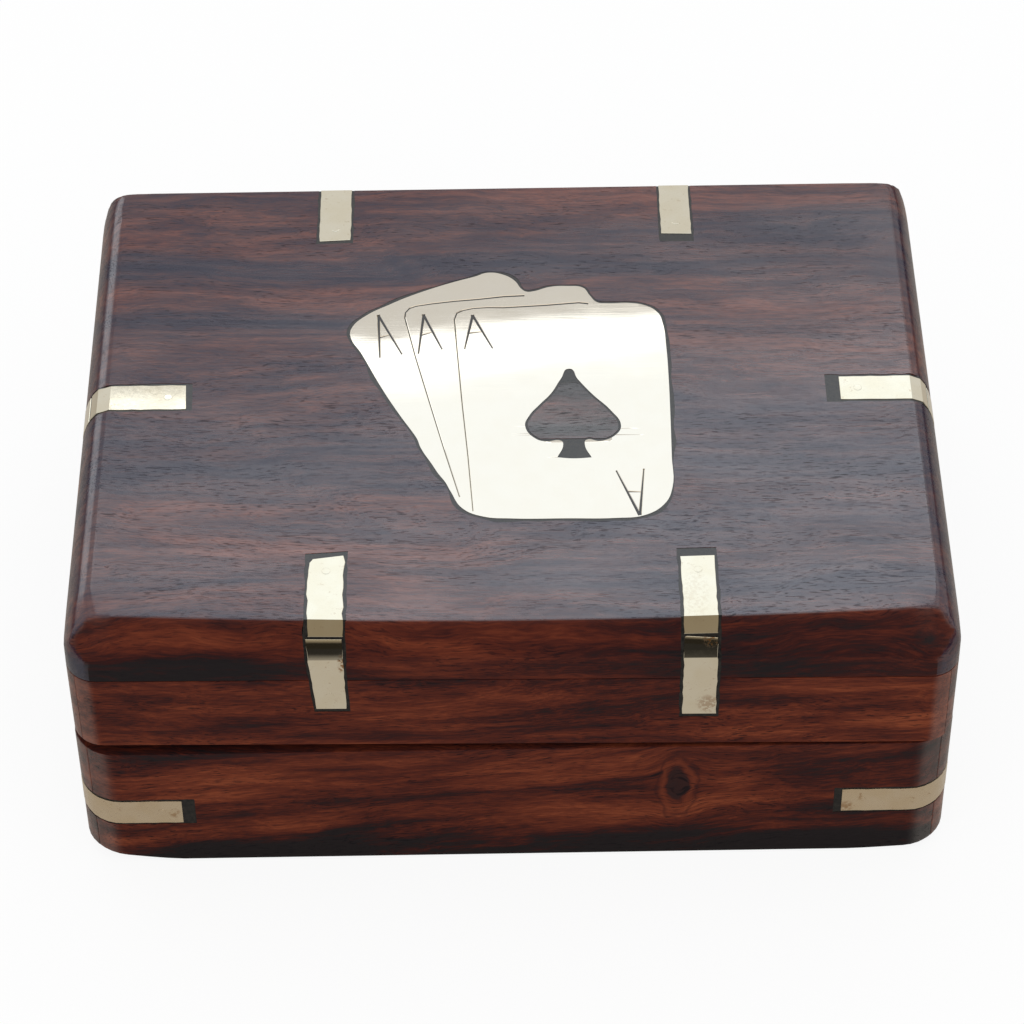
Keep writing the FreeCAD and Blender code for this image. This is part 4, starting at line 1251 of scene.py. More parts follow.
# %% [markdown]
# ## Brass strips
# All the straps are cut from one flat strip of brass, 6 mm wide and 1 mm thick, and bent over the wood. A
# block could be bent too, but a strip is easier to control: it starts as a small plane, its leading edge is
# drawn out along a line of places, and the sheet is then thickened inwards. The same tool makes the pocket in
# the wood and the filler in it: they are only wider, longer and deeper. The maker's snips left the edges
# uneven, so the strip's edge points wander a little.

# %% Draw a strip along a line
SNIP_STEP = 1.4
SKEW_REACH = 4.0


def divide_line(line, step):
    """Put extra places on the long stretches of a line."""
    places = [line[0]]
    for (y0, z0), (y1, z1) in zip(line, line[1:]):
        count = max(1, round(math.hypot(y1 - y0, z1 - z0) / step))
        for index in range(1, count + 1):
            share = index / count
            places.append((y0 + (y1 - y0) * share, z0 + (z1 - z0) * share))
    return places


def add_strip(name, line, centre, width, proud, depth, wander=0.0, skew=0.0, seed=1):
    """A strip along a line of (y, z) places on the wood. It stands proud of it and reaches into it."""
    line = divide_line(line, SNIP_STEP) if wander else line
    put_all_down()
    bpy.ops.mesh.primitive_plane_add(size=mm(1))
    strip = bpy.context.object
    strip.name = name
    for corner in strip.data.vertices:
        side = 1 if corner.co.x > 0 else -1
        y, z = line[0] if corner.co.y > 0 else line[1]
        corner.co = mm(centre + side * width / 2, y, z)
    edit(strip, "EDGE")
    lead = Vector((centre, *line[1]))
    pick(strip, "EDGE", lambda edge: (middle(edge) - lead).length < 0.01)
    for (y0, z0), (y1, z1) in zip(line[1:], line[2:]):
        bpy.ops.mesh.extrude_region_move(TRANSFORM_OT_translate={"value": mm(0, y1 - y0, z1 - z0)})
    leave()
    chance = random.Random(seed)
    for point in strip.data.vertices:
        side = 1 if point.co.x > mm(centre) else -1
        point.co.x += mm(chance.uniform(-wander, wander))
        from_end = abs(point.co.y * 1000 - line[0][0])
        point.co.y += mm(skew * side / 2 * max(0.0, 1 - from_end / SKEW_REACH))
    thickness = proud + depth
    offset = (proud - depth) / thickness
    shape_with(strip, "SOLIDIFY", thickness=mm(thickness), offset=offset, use_even_offset=True)
    return strip


print("strip tool ready")

# %% [markdown]
# ## The six straps of the lid
# Six straps go over the lid's edges. Each is in two legs that meet half-way down the slope: one on the top
# and one on the side. No two were cut alike, so each has its own line in a table here, which reads like a
# maker's cutting list and is easier to change than a mesh.

# %% Describe the six straps
# the heights where the upper leg ends and the lower one starts
SPLIT = (55.55, 55.15)
# the brass follows the wood's edge, but it is bent in a few flat facets with sharp folds between them
BENT_SLOPE = [(0.0, 51.2), (0.10, 51.6), (1.10, 54.1), (2.12, 55.8), (3.70, TOP)]
BENT_ROUND = SIDE_SLOPE[:5] + [(2.90, 57.25), (5.20, TOP)]
# side: turn in degrees, half size, slope, share of its inset
SIDES = {
    "front": (0, HALF_DEPTH, BENT_SLOPE, 1.0),
    "back": (180, HALF_DEPTH, BENT_SLOPE, BACK_SHARE),
    "left": (-90, HALF_WIDTH, BENT_ROUND, 1.0),
    "right": (90, HALF_WIDTH, BENT_ROUND, RIGHT_SHARE),
}
# name: side, centre, width, end on top, end on the face, slant of the end, gap at the sides, gap at the end,
# how uneven the cut is, how far the leg on the face leans over
STRAPS = {
    "front_left": ("front", -31.5, 6.1, 40.6, 39.0, 0.9, 0.55, 1.2, 0.20, 0.7),
    "front_right": ("front", 31.6, 5.75, 40.9, 37.2, 0.2, 0.55, 1.9, 0.09, 0.0),
    "back_left": ("back", 31.7, 5.8, 41.0, 39.5, 0.3, 0.5, 0.8, 0.09, 0.0),
    "back_right": ("back", -31.65, 5.6, 41.7, 39.5, -0.2, 0.4, 2.1, 0.07, 0.0),
    "left": ("left", 0.66, 6.25, 57.3, 39.5, 0.3, 0.4, 1.1, 0.06, 0.0),
    "right": ("right", -0.1, 5.9, 58.9, 39.5, 0.0, 0.5, 2.5, 0.06, 0.0),
}
# one leg isn't quite level across its width: rise for each unit to the side
TILTED_LEGS = {"left": 0.0087}
print("straps on the list:", len(STRAPS))

# %% [markdown]
# ## Follow the wood
# A strap follows the surface of the wood, so that surface is first written down as a line of places from the
# end on top, over the edge and down the face. Each leg takes its own part of the line. They all have the same
# shape, so each is made as if it were at the front, where up and sideways are plain Z and X, and turned to
# its side afterwards.

# %% Lines over the edge, and the faults of single legs
# how far a leaning leg starts to the side, and what share of its width it loses on the way down
LEAN_START = -0.25
LEAN_TAPER = 0.148
# the crumpled leg: height where it starts and how soon it is full, its middle, and how far each side moves
CRUMPLE_FOOT, CRUMPLE_RISE = 52.9, 2.0
CRUMPLE_MIDDLE = 31.6
PUSHED_IN, PUSHED_OUT = 0.16, -0.42


def crumple(leg):
    """The maker's hammer slipped here: the top of the leg is pushed in at one side and out at the other."""
    for point in leg.data.vertices:
        share = ease((point.co.z * 1000 - CRUMPLE_FOOT) / CRUMPLE_RISE)
        point.co.y += mm((PUSHED_IN if point.co.x * 1000 < CRUMPLE_MIDDLE else PUSHED_OUT) * share)


def wood_line(side, end_on_top, end_on_face):
    """The surface over one edge of the lid, as (y, z) places seen from the front."""
    half, slope, share = SIDES[side][1:]
    line = [(-end_on_top, TOP)] + [(-(half - inward * share), height) for inward, height in reversed(slope)]
    return line + [(-half, end_on_face)]


def part_of_line(line, high_z, low_z):
    """The part of a falling line between two heights."""
    part = []
    for (y0, z0), (y1, z1) in zip(line, line[1:]):
        for z in (high_z, low_z):
            if z1 < z < z0:
                share = (z0 - z) / (z0 - z1)
                part.append((y0 + (y1 - y0) * share, z))
        if low_z <= z1 <= high_z:
            part.append((y1, z1))
    return sorted(part + [line[0]] * (high_z >= TOP), key=lambda place: (-place[1], -place[0]))


def lean_over(piece, centre, lean, lower_end):
    """Let the leg on the face drift sideways and narrow as it goes down."""
    for point in piece.data.vertices:
        below = (SPLIT[1] - point.co.z * 1000) / (SPLIT[1] - lower_end)
        if below > -0.1 and lean:
            point.co.x += mm(lean * below + LEAN_START) - (point.co.x - mm(centre)) * LEAN_TAPER * below


front_line = wood_line("front", STRAPS["front_left"][3], STRAPS["front_left"][4])
print("places from the top to the face:", len(front_line))

# %% [markdown]
# ## Bend the straps
# Every strap needs a pocket, a bed of filler and two legs. They are drawn with the same tool, and each random
# wander has its own seed, so the box comes out the same every time.

# %% Make pockets, filler and legs
# how far a strip stands over the wood and reaches into it
BRASS_OVER, BRASS_INTO = 0.05, 1.0
FILLER_OVER, POCKET_OVER, POCKET_INTO = -0.07, 0.8, 1.1
POCKET_WANDER = 0.12
POCKET_SLANT = 0.6
GAP_ON_FACE = 0.8
FACE_WANDER = 0.09
BRASS_EDGE, BRASS_FOLD = 0.07, 62
# one upper leg has a corner clipped off: a place on the cut and the way it faces
CLIPPED = ((-33.9, -41.1, 0), (-1.3, 0.7, 0))

lid_pockets, lid_fillers, brass_legs, pin_places = [], [], {}, []
for seed, (name, strap) in enumerate(STRAPS.items(), start=3):
    side, centre, width, on_top, on_face, slant, side_gap, end_gap, uneven, lean = strap
    pocket_line = wood_line(side, on_top - end_gap, on_face - GAP_ON_FACE)
    in_wood = {"wander": POCKET_WANDER, "skew": slant * POCKET_SLANT, "seed": seed}
    drawn = (pocket_line, centre, width + 2 * side_gap)
    pocket = add_strip(name + "_pocket", *drawn, POCKET_OVER, POCKET_INTO, **in_wood)
    filler = add_strip(name + "_filler", *drawn, FILLER_OVER, POCKET_INTO, **in_wood)
    line = wood_line(side, on_top, on_face)
    drawn = (part_of_line(line, TOP, SPLIT[0]), centre, width, BRASS_OVER, BRASS_INTO)
    top_leg = add_strip(name + "_strap_on_top", *drawn, uneven, slant, seed + 20)
    drawn = (part_of_line(line, SPLIT[1], on_face), centre, width, BRASS_OVER, BRASS_INTO)
    face_leg = add_strip(name + "_strap_on_side", *drawn, FACE_WANDER, seed=seed + 40)
    for item in (pocket, filler, face_leg):
        lean_over(item, centre, lean, on_face)
    for point in top_leg.data.vertices:
        point.co.z += (point.co.x - mm(centre)) * TILTED_LEGS.get(name, 0.0)
    if name == "front_right":
        crumple(face_leg)
    if name == "front_left":
        bisect(top_leg, *CLIPPED, clear=True)
    for leg in (top_leg, face_leg):
        soften(leg, BRASS_EDGE, angle=BRASS_FOLD)
    for item in (pocket, filler, top_leg, face_leg):
        spin_round(item, SIDES[side][0])
    lid_pockets.append(pocket)
    lid_fillers.append(filler)
    brass_legs[name] = (top_leg, face_leg)
    pin_places.append((side, centre, on_top, on_face, lean))
print("straps:", len(brass_legs), "pockets:", len(lid_pockets))

# %% [markdown]
# ## The card plate and the spade
# The picture on the lid is a fan of three aces, sawn by hand from one sheet of brass, with a spade sawn out
# of the front card. It could be cut from a plane point by point. A flat closed curve is better: its round
# places get smooth handles and its sharp ones straight handles, it fills itself and gets a thickness, and it
# can be offset, so the same drawing gives the brass, the slightly larger pocket and the slightly smaller
# piece of wood inside the spade.

# %% Draw and cut the shapes
# x and y along each outline, and True where it is sharp
PLATE_OUTLINE = [
    (-4.7, -31.2), (-0.1, -31.7), (9.7, -31.8), (18.2, -31.8), (23.0, -31.2), (26.5, -28.6), (28.1, -24.5),
    (28.3, -16.9), (28.5, -6.2), (28.6, 3.0), (28.5, 11.3), (28.1, 17.5), (27.3, 20.2), (25.1, 22.1),
    (22.3, 22.8), (18.2, 22.8), (16.4, 23.1), (15.1, 25.0), (13.9, 27.1), (11.1, 27.6), (7.8, 27.4),
    (4.9, 26.3), (3.6, 26.2), (2.8, 26.8), (1.4, 29.3), (-0.8, 31.0), (-3.5, 31.5), (-5.8, 30.5),
    (-9.1, 29.3), (-13.6, 27.4), (-18.4, 25.0), (-21.2, 23.3), (-25.7, 20.2), (-28.1, 17.2), (-28.4, 14.8),
    (-26.3, 10.1), (-22.5, 0.9), (-19.0, -6.5), (-17.3, -9.7), (-16.2, -12.0), (-15.6, -14.1),
    (-13.5, -18.5), (-12.5, -20.6), (-11.2, -22.9), (-10.4, -24.9), (-8.2, -29.3),
]
SPADE = [
    (10.9, 5.6), (9.4, 3.1), (7.5, -0.8), (5.5, -3.5), (3.6, -6.3), (2.8, -9.0), (4.6, -12.2), (6.3, -12.9),
    (9.1, -12.8), (9.4, -13.7), (8.3, -16.9, True), (11.1, -17.2), (14.3, -17.0, True), (13.2, -13.8),
    (13.5, -12.6), (16.0, -12.9), (18.8, -11.3), (19.7, -9.0), (18.0, -5.2), (14.9, -1.1), (12.3, 3.0),
]
PLATE_TOP = TOP + 0.04
PLATE_BOTTOM = TOP - 1.2
BED_BOTTOM = TOP - 1.25
FILLER_TOP = TOP - 0.05
FILLER_WIDTH = 0.55
FILLER_WANDER = 0.6
WANDER_DENSITY = 0.22
WANDER_SEED = 5
THROUGH = 3
# the wooden spade is smaller all round, and its tip and its foot are cut off straight
SPADE_GAP = -0.45
SPADE_WOOD = (TOP - 1.1, TOP + 0.02)
SPADE_TIP, SPADE_FOOT = 2.0, -12.2


def drawn_slab(name, outline, bottom, top, grow=0.0):
    """A slab with a drawn outline between two heights, made larger or smaller all round."""
    curve = bpy.data.curves.new(name, "CURVE")
    curve.dimensions = "2D"
    curve.fill_mode = "BOTH"
    curve.extrude = mm((top - bottom) / 2)
    curve.offset = mm(grow)
    curve.resolution_u = 6
    spline = curve.splines.new("BEZIER")
    spline.bezier_points.add(len(outline) - 1)
    spline.use_cyclic_u = True
    for point, (x, y, *sharp) in zip(spline.bezier_points, outline):
        point.co = mm(x, y, 0)
        point.handle_left_type = point.handle_right_type = "VECTOR" if sharp else "AUTO"
    slab = bpy.data.objects.new(name, curve)
    bpy.context.collection.objects.link(slab)
    make_active(slab)
    bpy.ops.object.convert(target="MESH")
    slab = bpy.context.object
    slab.location.z = mm((bottom + top) / 2)
    settle(slab)
    turn_out(slab)
    return slab


def wobble(piece, amount):
    """Let an outline wander, the same at every height and in every run."""
    field.seed_set(WANDER_SEED)
    for point in piece.data.vertices:
        x, y = point.co.xy * 1000
        push = field.noise_vector(Vector((x * WANDER_DENSITY, y * WANDER_DENSITY, 4.0)))
        point.co.x += mm(push.x * amount)
        point.co.y += mm(push.y * amount)


plate = drawn_slab("card_plate", PLATE_OUTLINE, PLATE_BOTTOM, PLATE_TOP)
plate_filler = drawn_slab("plate_filler", PLATE_OUTLINE, BED_BOTTOM, FILLER_TOP, FILLER_WIDTH)
plate_pocket = drawn_slab("plate_pocket", PLATE_OUTLINE, BED_BOTTOM, TOP + 2, FILLER_WIDTH)
for piece in (plate_filler, plate_pocket):
    wobble(piece, FILLER_WANDER)
spade_wood = drawn_slab("spade_wood", SPADE, *SPADE_WOOD, SPADE_GAP)
bisect(spade_wood, (0, SPADE_TIP, 0), (0, 1, 0), clear=True)
bisect(spade_wood, (0, SPADE_FOOT, 0), (0, -1, 0), clear=True)
cut_with(plate, drawn_slab("spade_hole", SPADE, TOP - THROUGH, TOP + THROUGH))
soften(spade_wood, 0.08)
soften(plate, 0.10, angle=50)
print("plate, mm:", [round(v * 1000, 1) for v in plate.dimensions], "faces:", len(plate.data.polygons))

# %% [markdown]
# ## Engraving
# The edges of the two hidden cards and the four letters A, an ace's usual mark, are cut with a graver. Lines
# in the material would do from far away, but a real groove has an edge that catches the light. A graver
# leaves a V, so each stroke is cut out with a thin four-sided bar that lies on its corner. Filler settles in
# the bottom of the grooves: the bed of filler is one slab that ends a little below the surface of the plate,
# so it fills them too, and the spade's surround with them.

# %% Cut the card edges and the letters
# each line starts at the upper right, turns the card's corner and runs down its left edge
CARD_EDGES = [
    [
        (3.2, 25.2), (-0.6, 25.0), (-5.6, 24.3), (-9.6, 23.9), (-13.6, 23.3), (-16.6, 22.7), (-17.8, 22.1),
        (-18.5, 21.0), (-18.6, 19.6), (-17.9, 16.0), (-16.7, 9.6), (-14.1, -2.5), (-11.4, -15.0),
        (-8.8, -26.4),
    ],
    [
        (14.8, 22.8), (13.1, 23.1), (6.9, 22.5), (-0.6, 22.0), (-3.6, 22.1), (-6.2, 21.9), (-8.0, 21.4),
        (-9.2, 20.6), (-9.6, 19.1), (-9.2, 11.8), (-8.3, -2.7), (-7.3, -16.5), (-6.5, -29.9),
    ],
]
# top, left foot and right foot of each letter
LETTERS = [
    ((-23.4, 20.4), (-23.0, 9.0), (-19.0, 9.8)),
    ((-15.2, 20.4), (-16.1, 9.9), (-11.8, 11.0)),
    ((-6.3, 20.1), (-7.8, 11.0), (-2.7, 11.1)),
    ((22.2, -31.2), (18.5, -20.3), (23.3, -19.9)),
]
# how far down each foot the crossbar starts and ends
CROSSBAR = (0.53, 0.50)
EDGE_STROKE, LETTER_STROKE, BAR_STROKE = 0.29, 0.34, 0.26
GRAVER_HEIGHT = PLATE_TOP + 0.02
GRAVER_LIFT = 0.45
# the lines ruled over the plate: spacing, how far to each side, how far to the front and back, and from where
PLATE_GRID = (6.0, 30, 33, 3.0)


def add_groove(name, places, width):
    """A thin bar along a line of (x, y), about half of it below the plate's surface."""
    curve = bpy.data.curves.new(name, "CURVE")
    curve.dimensions = "3D"
    curve.twist_mode = "Z_UP"
    curve.bevel_depth = mm(width)
    curve.bevel_resolution = 0
    curve.use_fill_caps = True
    spline = curve.splines.new("POLY")
    spline.points.add(len(places) - 1)
    for index, (x, y) in enumerate(places):
        spline.points[index].co = (*mm(x, y, GRAVER_HEIGHT), 1)
        spline.points[index].radius = 1.0 - GRAVER_LIFT * index / (len(places) - 1)
    bar = bpy.data.objects.new(name, curve)
    bpy.context.collection.objects.link(bar)
    make_active(bar)
    bpy.ops.object.convert(target="MESH")
    return bpy.context.object


def between(start, end, share):
    """A place part of the way from one to another."""
    return tuple(a + (b - a) * share for a, b in zip(start, end))


grooves = [add_groove("card_edge", places, EDGE_STROKE) for places in CARD_EDGES]
for apex, left_foot, right_foot in LETTERS:
    grooves.append(add_groove("left_stroke", [apex, left_foot], LETTER_STROKE))
    grooves.append(add_groove("right_stroke", [apex, right_foot], LETTER_STROKE))
    bar_ends = [between(apex, foot, share) for foot, share in zip((left_foot, right_foot), CROSSBAR)]
    grooves.append(add_groove("crossbar", bar_ends, BAR_STROKE))
for groove in grooves:
    turn_out(groove)
cut_with(plate, *grooves)
rule_lines(plate, *PLATE_GRID)
print("plate faces after engraving:", len(plate.data.polygons))

# %% [markdown]
# ## Let the brass into the wood
# A maker lays the brass on the wood, scribes round it and chisels the pocket out. Here the pocket is a cutter
# of its own. The same one goes through the top board and the board under it, so that they line up, and the
# brass then cuts its own shape out of the filler. The top board is ruled with lines last, so that it can be
# worn.

# %% Cut the pockets
BOARD_GRID = 4.0
for (name, strap), pocket in zip(STRAPS.items(), lid_pockets):
    cut_with(board, pocket, keep=True)
    cut_with(rails[f"lid_{strap[0]}_board"], pocket)
cut_with(board, plate_pocket)
for name, filler in zip(STRAPS, lid_fillers):
    cut_with(filler, *brass_legs[name], keep=True)
    print(name, "filler faces:", len(filler.data.polygons))
rule_lines(board, BOARD_GRID, HALF_WIDTH, HALF_DEPTH)
turn_out(board)
print("top board faces:", len(board.data.polygons))

# %% [markdown]
# ## Rub the corners round
# Where a slope meets a round, the planed corner is sharp, and hands have rubbed it soft. A bevel needs one
# clean edge, and here many meet. So the corner is scored with fine lines, and the points near its tip are
# then drawn towards their neighbours, which is just what rubbing does.

# %% Rub the four corners round
# how far out, to the front or back, and up a place is before it counts as in a corner
CORNER_START = (66.0, 49.5, 49.5)
SCORE_SPACING = 0.9
# the first line and the end for each axis
SCORED = ((66.3, 76), (49.9, 58.5), (50.2, 58.0))
CORNER_TIP = (72.5, 55.5, 55.5)
RUB_REACH = 6.5
RUB_STRENGTH, RUB_STROKES = 0.5, 6


def folded(item):
    """A place with its left and front folded over to the right and the back."""
    place = middle(item)
    return (abs(place.x), abs(place.y), place.z)


def in_corner(item):
    """True at a corner of the lid."""
    return all(part > start for part, start in zip(folded(item), CORNER_START))


def score_corners(piece, axis, first, end):
    """Draw fine lines over the corners only."""
    place = first
    while place < end:
        for side in ((-1, 1) if axis < 2 else (1,)):
            edit(piece, "FACE")
            pick(piece, "FACE", in_corner)
            on_plane, along = Vector(), Vector()
            on_plane[axis], along[axis] = mm(place * side), 1
            bpy.ops.mesh.bisect(plane_co=on_plane, plane_no=along, threshold=ON_PLANE)
            leave()
        place += SCORE_SPACING


for axis, (first, end) in enumerate(SCORED):
    score_corners(board, axis, first, end)
edit(board, "VERT")
rubbed = pick(board, "VERT", lambda v: in_corner(v) and math.dist(folded(v), CORNER_TIP) < RUB_REACH)
bpy.ops.mesh.vertices_smooth(factor=RUB_STRENGTH, repeat=RUB_STROKES)
leave()
print("points rubbed:", rubbed, "top board faces:", len(board.data.polygons))

# %% [markdown]
# ## The pins
# Each leg is held by a brass pin, filed off flush. All that shows is a faint ring, where the pin's softened
# edge meets the strap. A ring could be drawn in the material, but a short cylinder that stands a tenth of a
# millimetre proud shows the same ring from every side. All the pins of the lid are joined, because they are
# one part of the frame.

# %% Set the pins
PIN_RADIUS, PIN_LENGTH = 0.75, 1.2
PIN_EDGE = 0.12
PIN_PROUD = 0.12
# how far under the surface the middle of a pin lies, and how far in from the end of its leg
PIN_DEPTH = PIN_LENGTH / 2 - PIN_PROUD
PIN_FROM_TOP_END, PIN_FROM_FACE_END = 3.2, 3.4
PIN_LEAN = 0.4


def add_pin(turn_degrees, centre, y, z, faces_up):
    """A brass pin whose head shows as a faint ring. It is made at the front and turned to its side."""
    put_all_down()
    bpy.ops.mesh.primitive_cylinder_add(
        radius=mm(PIN_RADIUS), depth=mm(PIN_LENGTH), vertices=32, location=mm(centre, y, z)
    )
    pin = bpy.context.object
    if not faces_up:
        pin.rotation_euler.x = math.pi / 2
    settle(pin)
    soften(pin, PIN_EDGE)
    return spin_round(pin, turn_degrees)


lid_pins = []
for side, centre, on_top, on_face, lean in pin_places:
    turn_degrees, half = SIDES[side][:2]
    top_place = (centre, -(on_top + PIN_FROM_TOP_END), TOP - PIN_DEPTH)
    face_place = (centre + PIN_LEAN * lean, -(half - PIN_DEPTH), on_face + PIN_FROM_FACE_END)
    lid_pins.append(add_pin(turn_degrees, *top_place, faces_up=True))
    lid_pins.append(add_pin(turn_degrees, *face_place, faces_up=False))
lid_pin_piece = join_pieces("lid_brass_pins", lid_pins)
print("lid pins:", len(lid_pins))

# %% [markdown]
# ## Put the lid together
# Now every piece of the lid is bent by the cage and given its finish, and takes over from the frame's part of
# the same kind. The brass legs are smoothed only across very flat angles: on a mirror, smoothing over a fold
# would bend the reflections beside it.

# %% Finish the lid
SIDE_NAMES = ("front", "back", "left", "right")
MIRROR_SMOOTH = 15
finish_piece(board, "lid", wood["top"], "rosewood", "lid_top_board")
for side in SIDE_NAMES:
    finish_piece(rails[f"lid_{side}_board"], "lid", wood["lid_" + side], "rosewood", f"lid_{side}_rail")
for name, (top_leg, face_leg) in brass_legs.items():
    finish_piece(top_leg, "lid", strap_brass, "brass", name + "_strap_top_leg", angle=MIRROR_SMOOTH)
    finish_piece(face_leg, "lid", strap_brass, "brass", name + "_strap_side_leg", angle=MIRROR_SMOOTH)
finish_piece(lid_pin_piece, "lid", strap_brass, "brass", "lid_strap_pins")
finish_piece(plate, "lid", plate_brass, "brass", "card_fan_plate", angle=25)
finish_piece(spade_wood, "lid", wood["spade"], "rosewood", "spade_insert")
lid_filler = join_pieces("lid_filler", lid_fillers + [plate_filler])
finish_piece(lid_filler, "lid", dark_filler, "dark_filler", "lid_inlay_filler")

# %% [markdown]
# ## The straps round the lower corners
# The lower half has four straps, each bent round a corner. The strip tool only bends over an edge. A second
# tool could bend round a corner, but the strap can as well be made lying down, as if its corner were an edge,
# and then stood up. These straps are duller, so their round bend may be smoothed.

# %% Bend the corner straps
# name: end on the front or back, end on the side, middle height, gap at the end, stand up by, then turn by
CORNER_STRAPS = {
    "front_left": (58.4, 40.5, 13.75, 2.3, -90, 0),
    "front_right": (57.3, 40.5, 14.1, 1.4, 90, 0),
    "back_right": (58.0, 40.5, 13.7, 1.4, -90, 180),
    "back_left": (58.0, 40.5, 13.7, 1.4, 90, 180),
}
CORNER_STRAP_WIDTH = 5.8
CORNER_POCKET_WIDTH = 6.6
CORNER_WANDER, CORNER_POCKET_WANDER = 0.06, 0.1
GAP_ON_SIDE = 1.4
BEND_STEPS = 8
PIN_FROM_CORNER_END = 3.6


def corner_line(end_on_long, end_on_short):
    """The outside of a corner, lying down: along the short side, round the corner, along the long side."""
    centre_y, centre_z = HALF_DEPTH - BASE_CORNER, BASE_HALF_WIDTH - BASE_CORNER
    line = [(-end_on_short, BASE_HALF_WIDTH)]
    for step in range(BEND_STEPS + 1):
        angle = math.radians(90 * step / BEND_STEPS)
        line.append((-(centre_y + BASE_CORNER * math.sin(angle)), centre_z + BASE_CORNER * math.cos(angle)))
    return line + [(-HALF_DEPTH, end_on_long)]


base_fillers, corner_pins = [], []
for seed, (name, strap) in enumerate(CORNER_STRAPS.items(), start=70):
    on_long, on_short, height, end_gap, stand, turn_degrees = strap
    centre = height if stand < 0 else -height
    drawn = (corner_line(on_long - end_gap, on_short - GAP_ON_SIDE), centre, CORNER_POCKET_WIDTH)
    in_wood = {"wander": CORNER_POCKET_WANDER, "seed": seed}
    pocket = add_strip(name + "_pocket", *drawn, POCKET_OVER, POCKET_INTO, **in_wood)
    filler = add_strip(name + "_filler", *drawn, FILLER_OVER, POCKET_INTO, **in_wood)
    drawn = (corner_line(on_long, on_short), centre, CORNER_STRAP_WIDTH, BRASS_OVER, BRASS_INTO)
    strip = add_strip(name + "_corner_brass", *drawn, CORNER_WANDER, seed=seed + 10)
    soften(strip, BRASS_EDGE, angle=BRASS_FOLD)
    for item in (pocket, filler, strip):
        spin_round(item, stand, "Y")
        spin_round(item, turn_degrees)
    front = "front" in name
    side_wall = walls["base_left_board" if "left" in name else "base_right_board"]
    cut_with(walls["base_front_board" if front else "base_back_board"], pocket, keep=True)
    cut_with(side_wall, pocket)
    cut_with(filler, strip, keep=True)
    finish_piece(strip, "base", corner_brass, "brass", name + "_corner_strap", angle=40)
    base_fillers.append(filler)
    right = 1 if "right" in name else -1
    way = right if front else -right
    long_place = (way * (on_long + PIN_FROM_CORNER_END), -(HALF_DEPTH - PIN_DEPTH), height)
    short_place = (-way * (on_short + PIN_FROM_CORNER_END), -(BASE_HALF_WIDTH - PIN_DEPTH), height)
    corner_pins.append(add_pin(0 if front else 180, *long_place, faces_up=False))
    corner_pins.append(add_pin(90 * right, *short_place, faces_up=False))
base_filler = join_pieces("base_filler", base_fillers)
finish_piece(base_filler, "base", dark_filler, "dark_filler", "base_inlay_filler")
base_pin_piece = join_pieces("base_brass_pins", corner_pins)
finish_piece(base_pin_piece, "base", corner_brass, "brass", "base_strap_pins")

# %% [markdown]
# ## The walls of the lower half
# All the cuts in the walls are made, so they can be welded and finished. Booleans leave some points double
# and a face or two the wrong way round. Welding first and turning the faces after keeps the shading clean.

# %% Finish the lower half's walls
for side in SIDE_NAMES:
    wall = walls[f"base_{side}_board"]
    turn_out(wall)
    finish_piece(wall, "base", wood["base_" + side], "rosewood", f"base_{side}_wall")

# %% [markdown]
# ## Felt linings
# Two wells hold a deck each. The wells and the underside of the top board are lined with felt, cut to size
# and laid flat. A cloth simulation would change nothing on a sheet that is glued down, so each lining is a
# fine grid with a slight swell, made thicker.

# %% Line the wells and the lid
FELT_GRID = 2
FELT_THICKNESS = 0.7
FELT_SWELL = 0.25
SWELL_WIDTH = 9.0
FELT_MIDDLE = 0.4
FELT_EDGE = 0.15


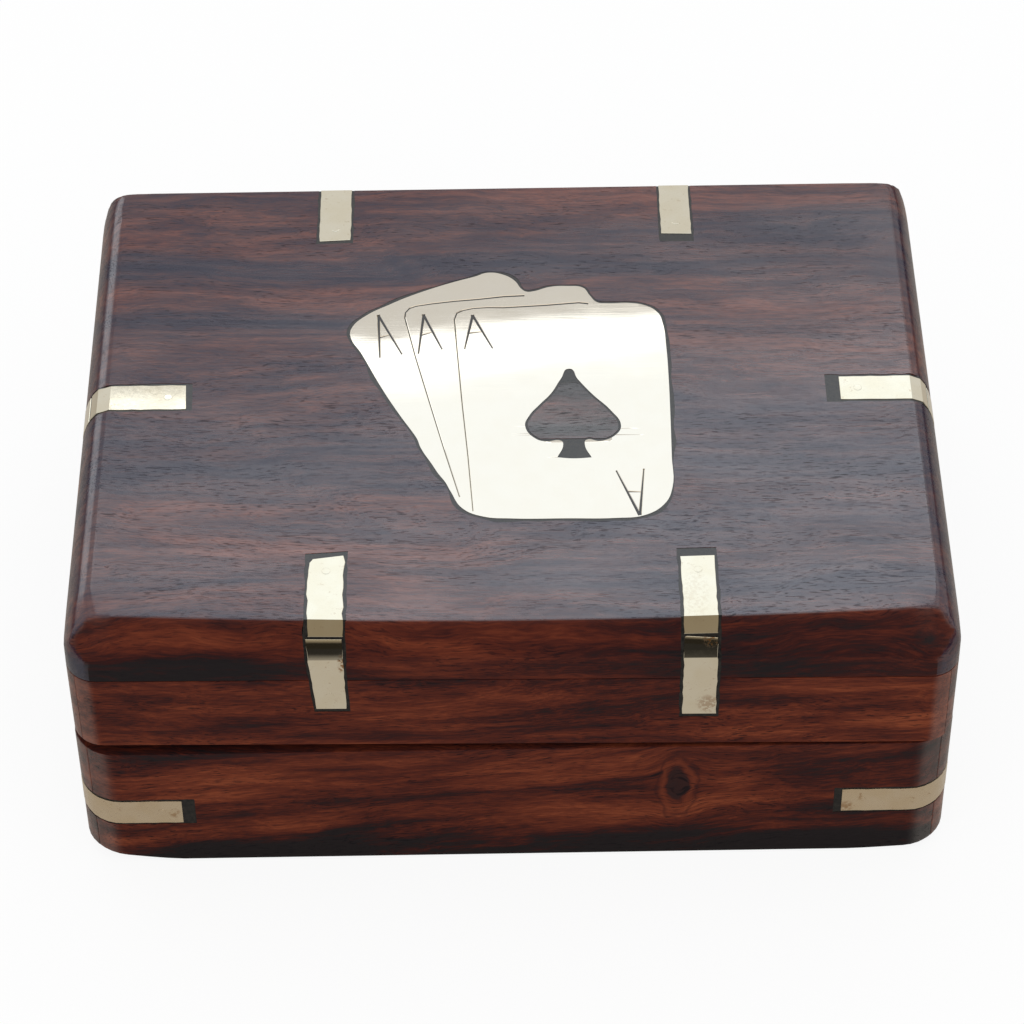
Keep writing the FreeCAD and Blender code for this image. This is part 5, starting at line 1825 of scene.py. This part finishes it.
def add_lining(name, near, far, seed):
    """A piece of felt that fills the space between two corners."""
    put_all_down()
    width, depth = far[0] - near[0], far[1] - near[1]
    place = mm((near[0] + far[0]) / 2, (near[1] + far[1]) / 2, near[2] + FELT_MIDDLE)
    columns, rows = round(width / FELT_GRID), round(depth / FELT_GRID)
    bpy.ops.mesh.primitive_grid_add(x_subdivisions=columns, y_subdivisions=rows, size=1, location=place)
    lining = bpy.context.object
    lining.name = name
    lining.scale = (mm(width), mm(depth), 1)
    settle(lining)
    swell = bpy.data.textures.new(name + "_swell", "CLOUDS")
    swell.noise_scale = mm(SWELL_WIDTH + seed)
    strength = mm(FELT_SWELL)
    shape_with(lining, "DISPLACE", texture=swell, strength=strength, direction="Z", texture_coords="LOCAL")
    shape_with(lining, "SOLIDIFY", thickness=mm(FELT_THICKNESS), offset=0.0)
    soften(lining, FELT_EDGE)
    return lining


LININGS = {
    "left_well_lining": ((-67.6, -50.1, 5.1), (-2.4, 50.1, 6.0), "base", "left_well_felt", ["base_floor"]),
    "right_well_lining": ((2.4, -50.1, 5.1), (67.6, 50.1, 6.0), "base", "right_well_felt", ["base_floor"]),
    "lid_lining": ((-67.6, -50.1, 45.3), (67.6, 50.1, 46.3), "lid", "lid_felt", ["top_board"]),
}
for seed, (name, (near, far, body, node, under)) in enumerate(LININGS.items()):
    lining = add_lining(name, near, far, seed)
    finish_piece(lining, body, red_felt, "felt", node)

# %% [markdown]
# ## The divider, the floor and the hinges
# The divider between the wells is a thin board with its edges rounded, because fingers reach past it. The
# floor panel and the hinges could be modelled again, but those of the frame are already right: a flat panel
# and stamped brass. They stay and only get a finish. The bending cage has done its work and is taken away.

# %% Fit the divider and dress the parts that stay
DIVIDER_ROUND = 0.5
divider = add_block("well_divider", *DIVIDER)
soften(divider, DIVIDER_ROUND, segments=3)
finish_piece(divider, "base", wood["divider"], "rosewood", "card_divider")
kept = {"base_floor": wood["floor"]}
for side in ("left", "right"):
    for part in ("base_leaf", "lid_leaf", "pin"):
        kept[f"hinge_{side}_{part}"] = hinge_brass
kept["hinge_screws_base"] = kept["hinge_screws_lid"] = hinge_brass
for node, finish in kept.items():
    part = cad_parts[node]
    part.data.materials.clear()
    part.data.materials.append(finish)
bpy.data.objects.remove(cage)
print("parts dressed in place:", len(kept))

# %% [markdown]
# ## Measure and finish
# The box must not outgrow the model that it was built round. It could be measured by eye with a ruler in the
# viewport, but numbers are plainer. Both sizes are printed at the end.

# %% Print both sizes
sizes = {"frame": [list(v) for v in frame_bounds], "model": [list(v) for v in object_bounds()]}
for name, (near, far) in sizes.items():
    print(name, "mm:", [[round(v * 1000, 2) for v in corner] for corner in (near, far)])
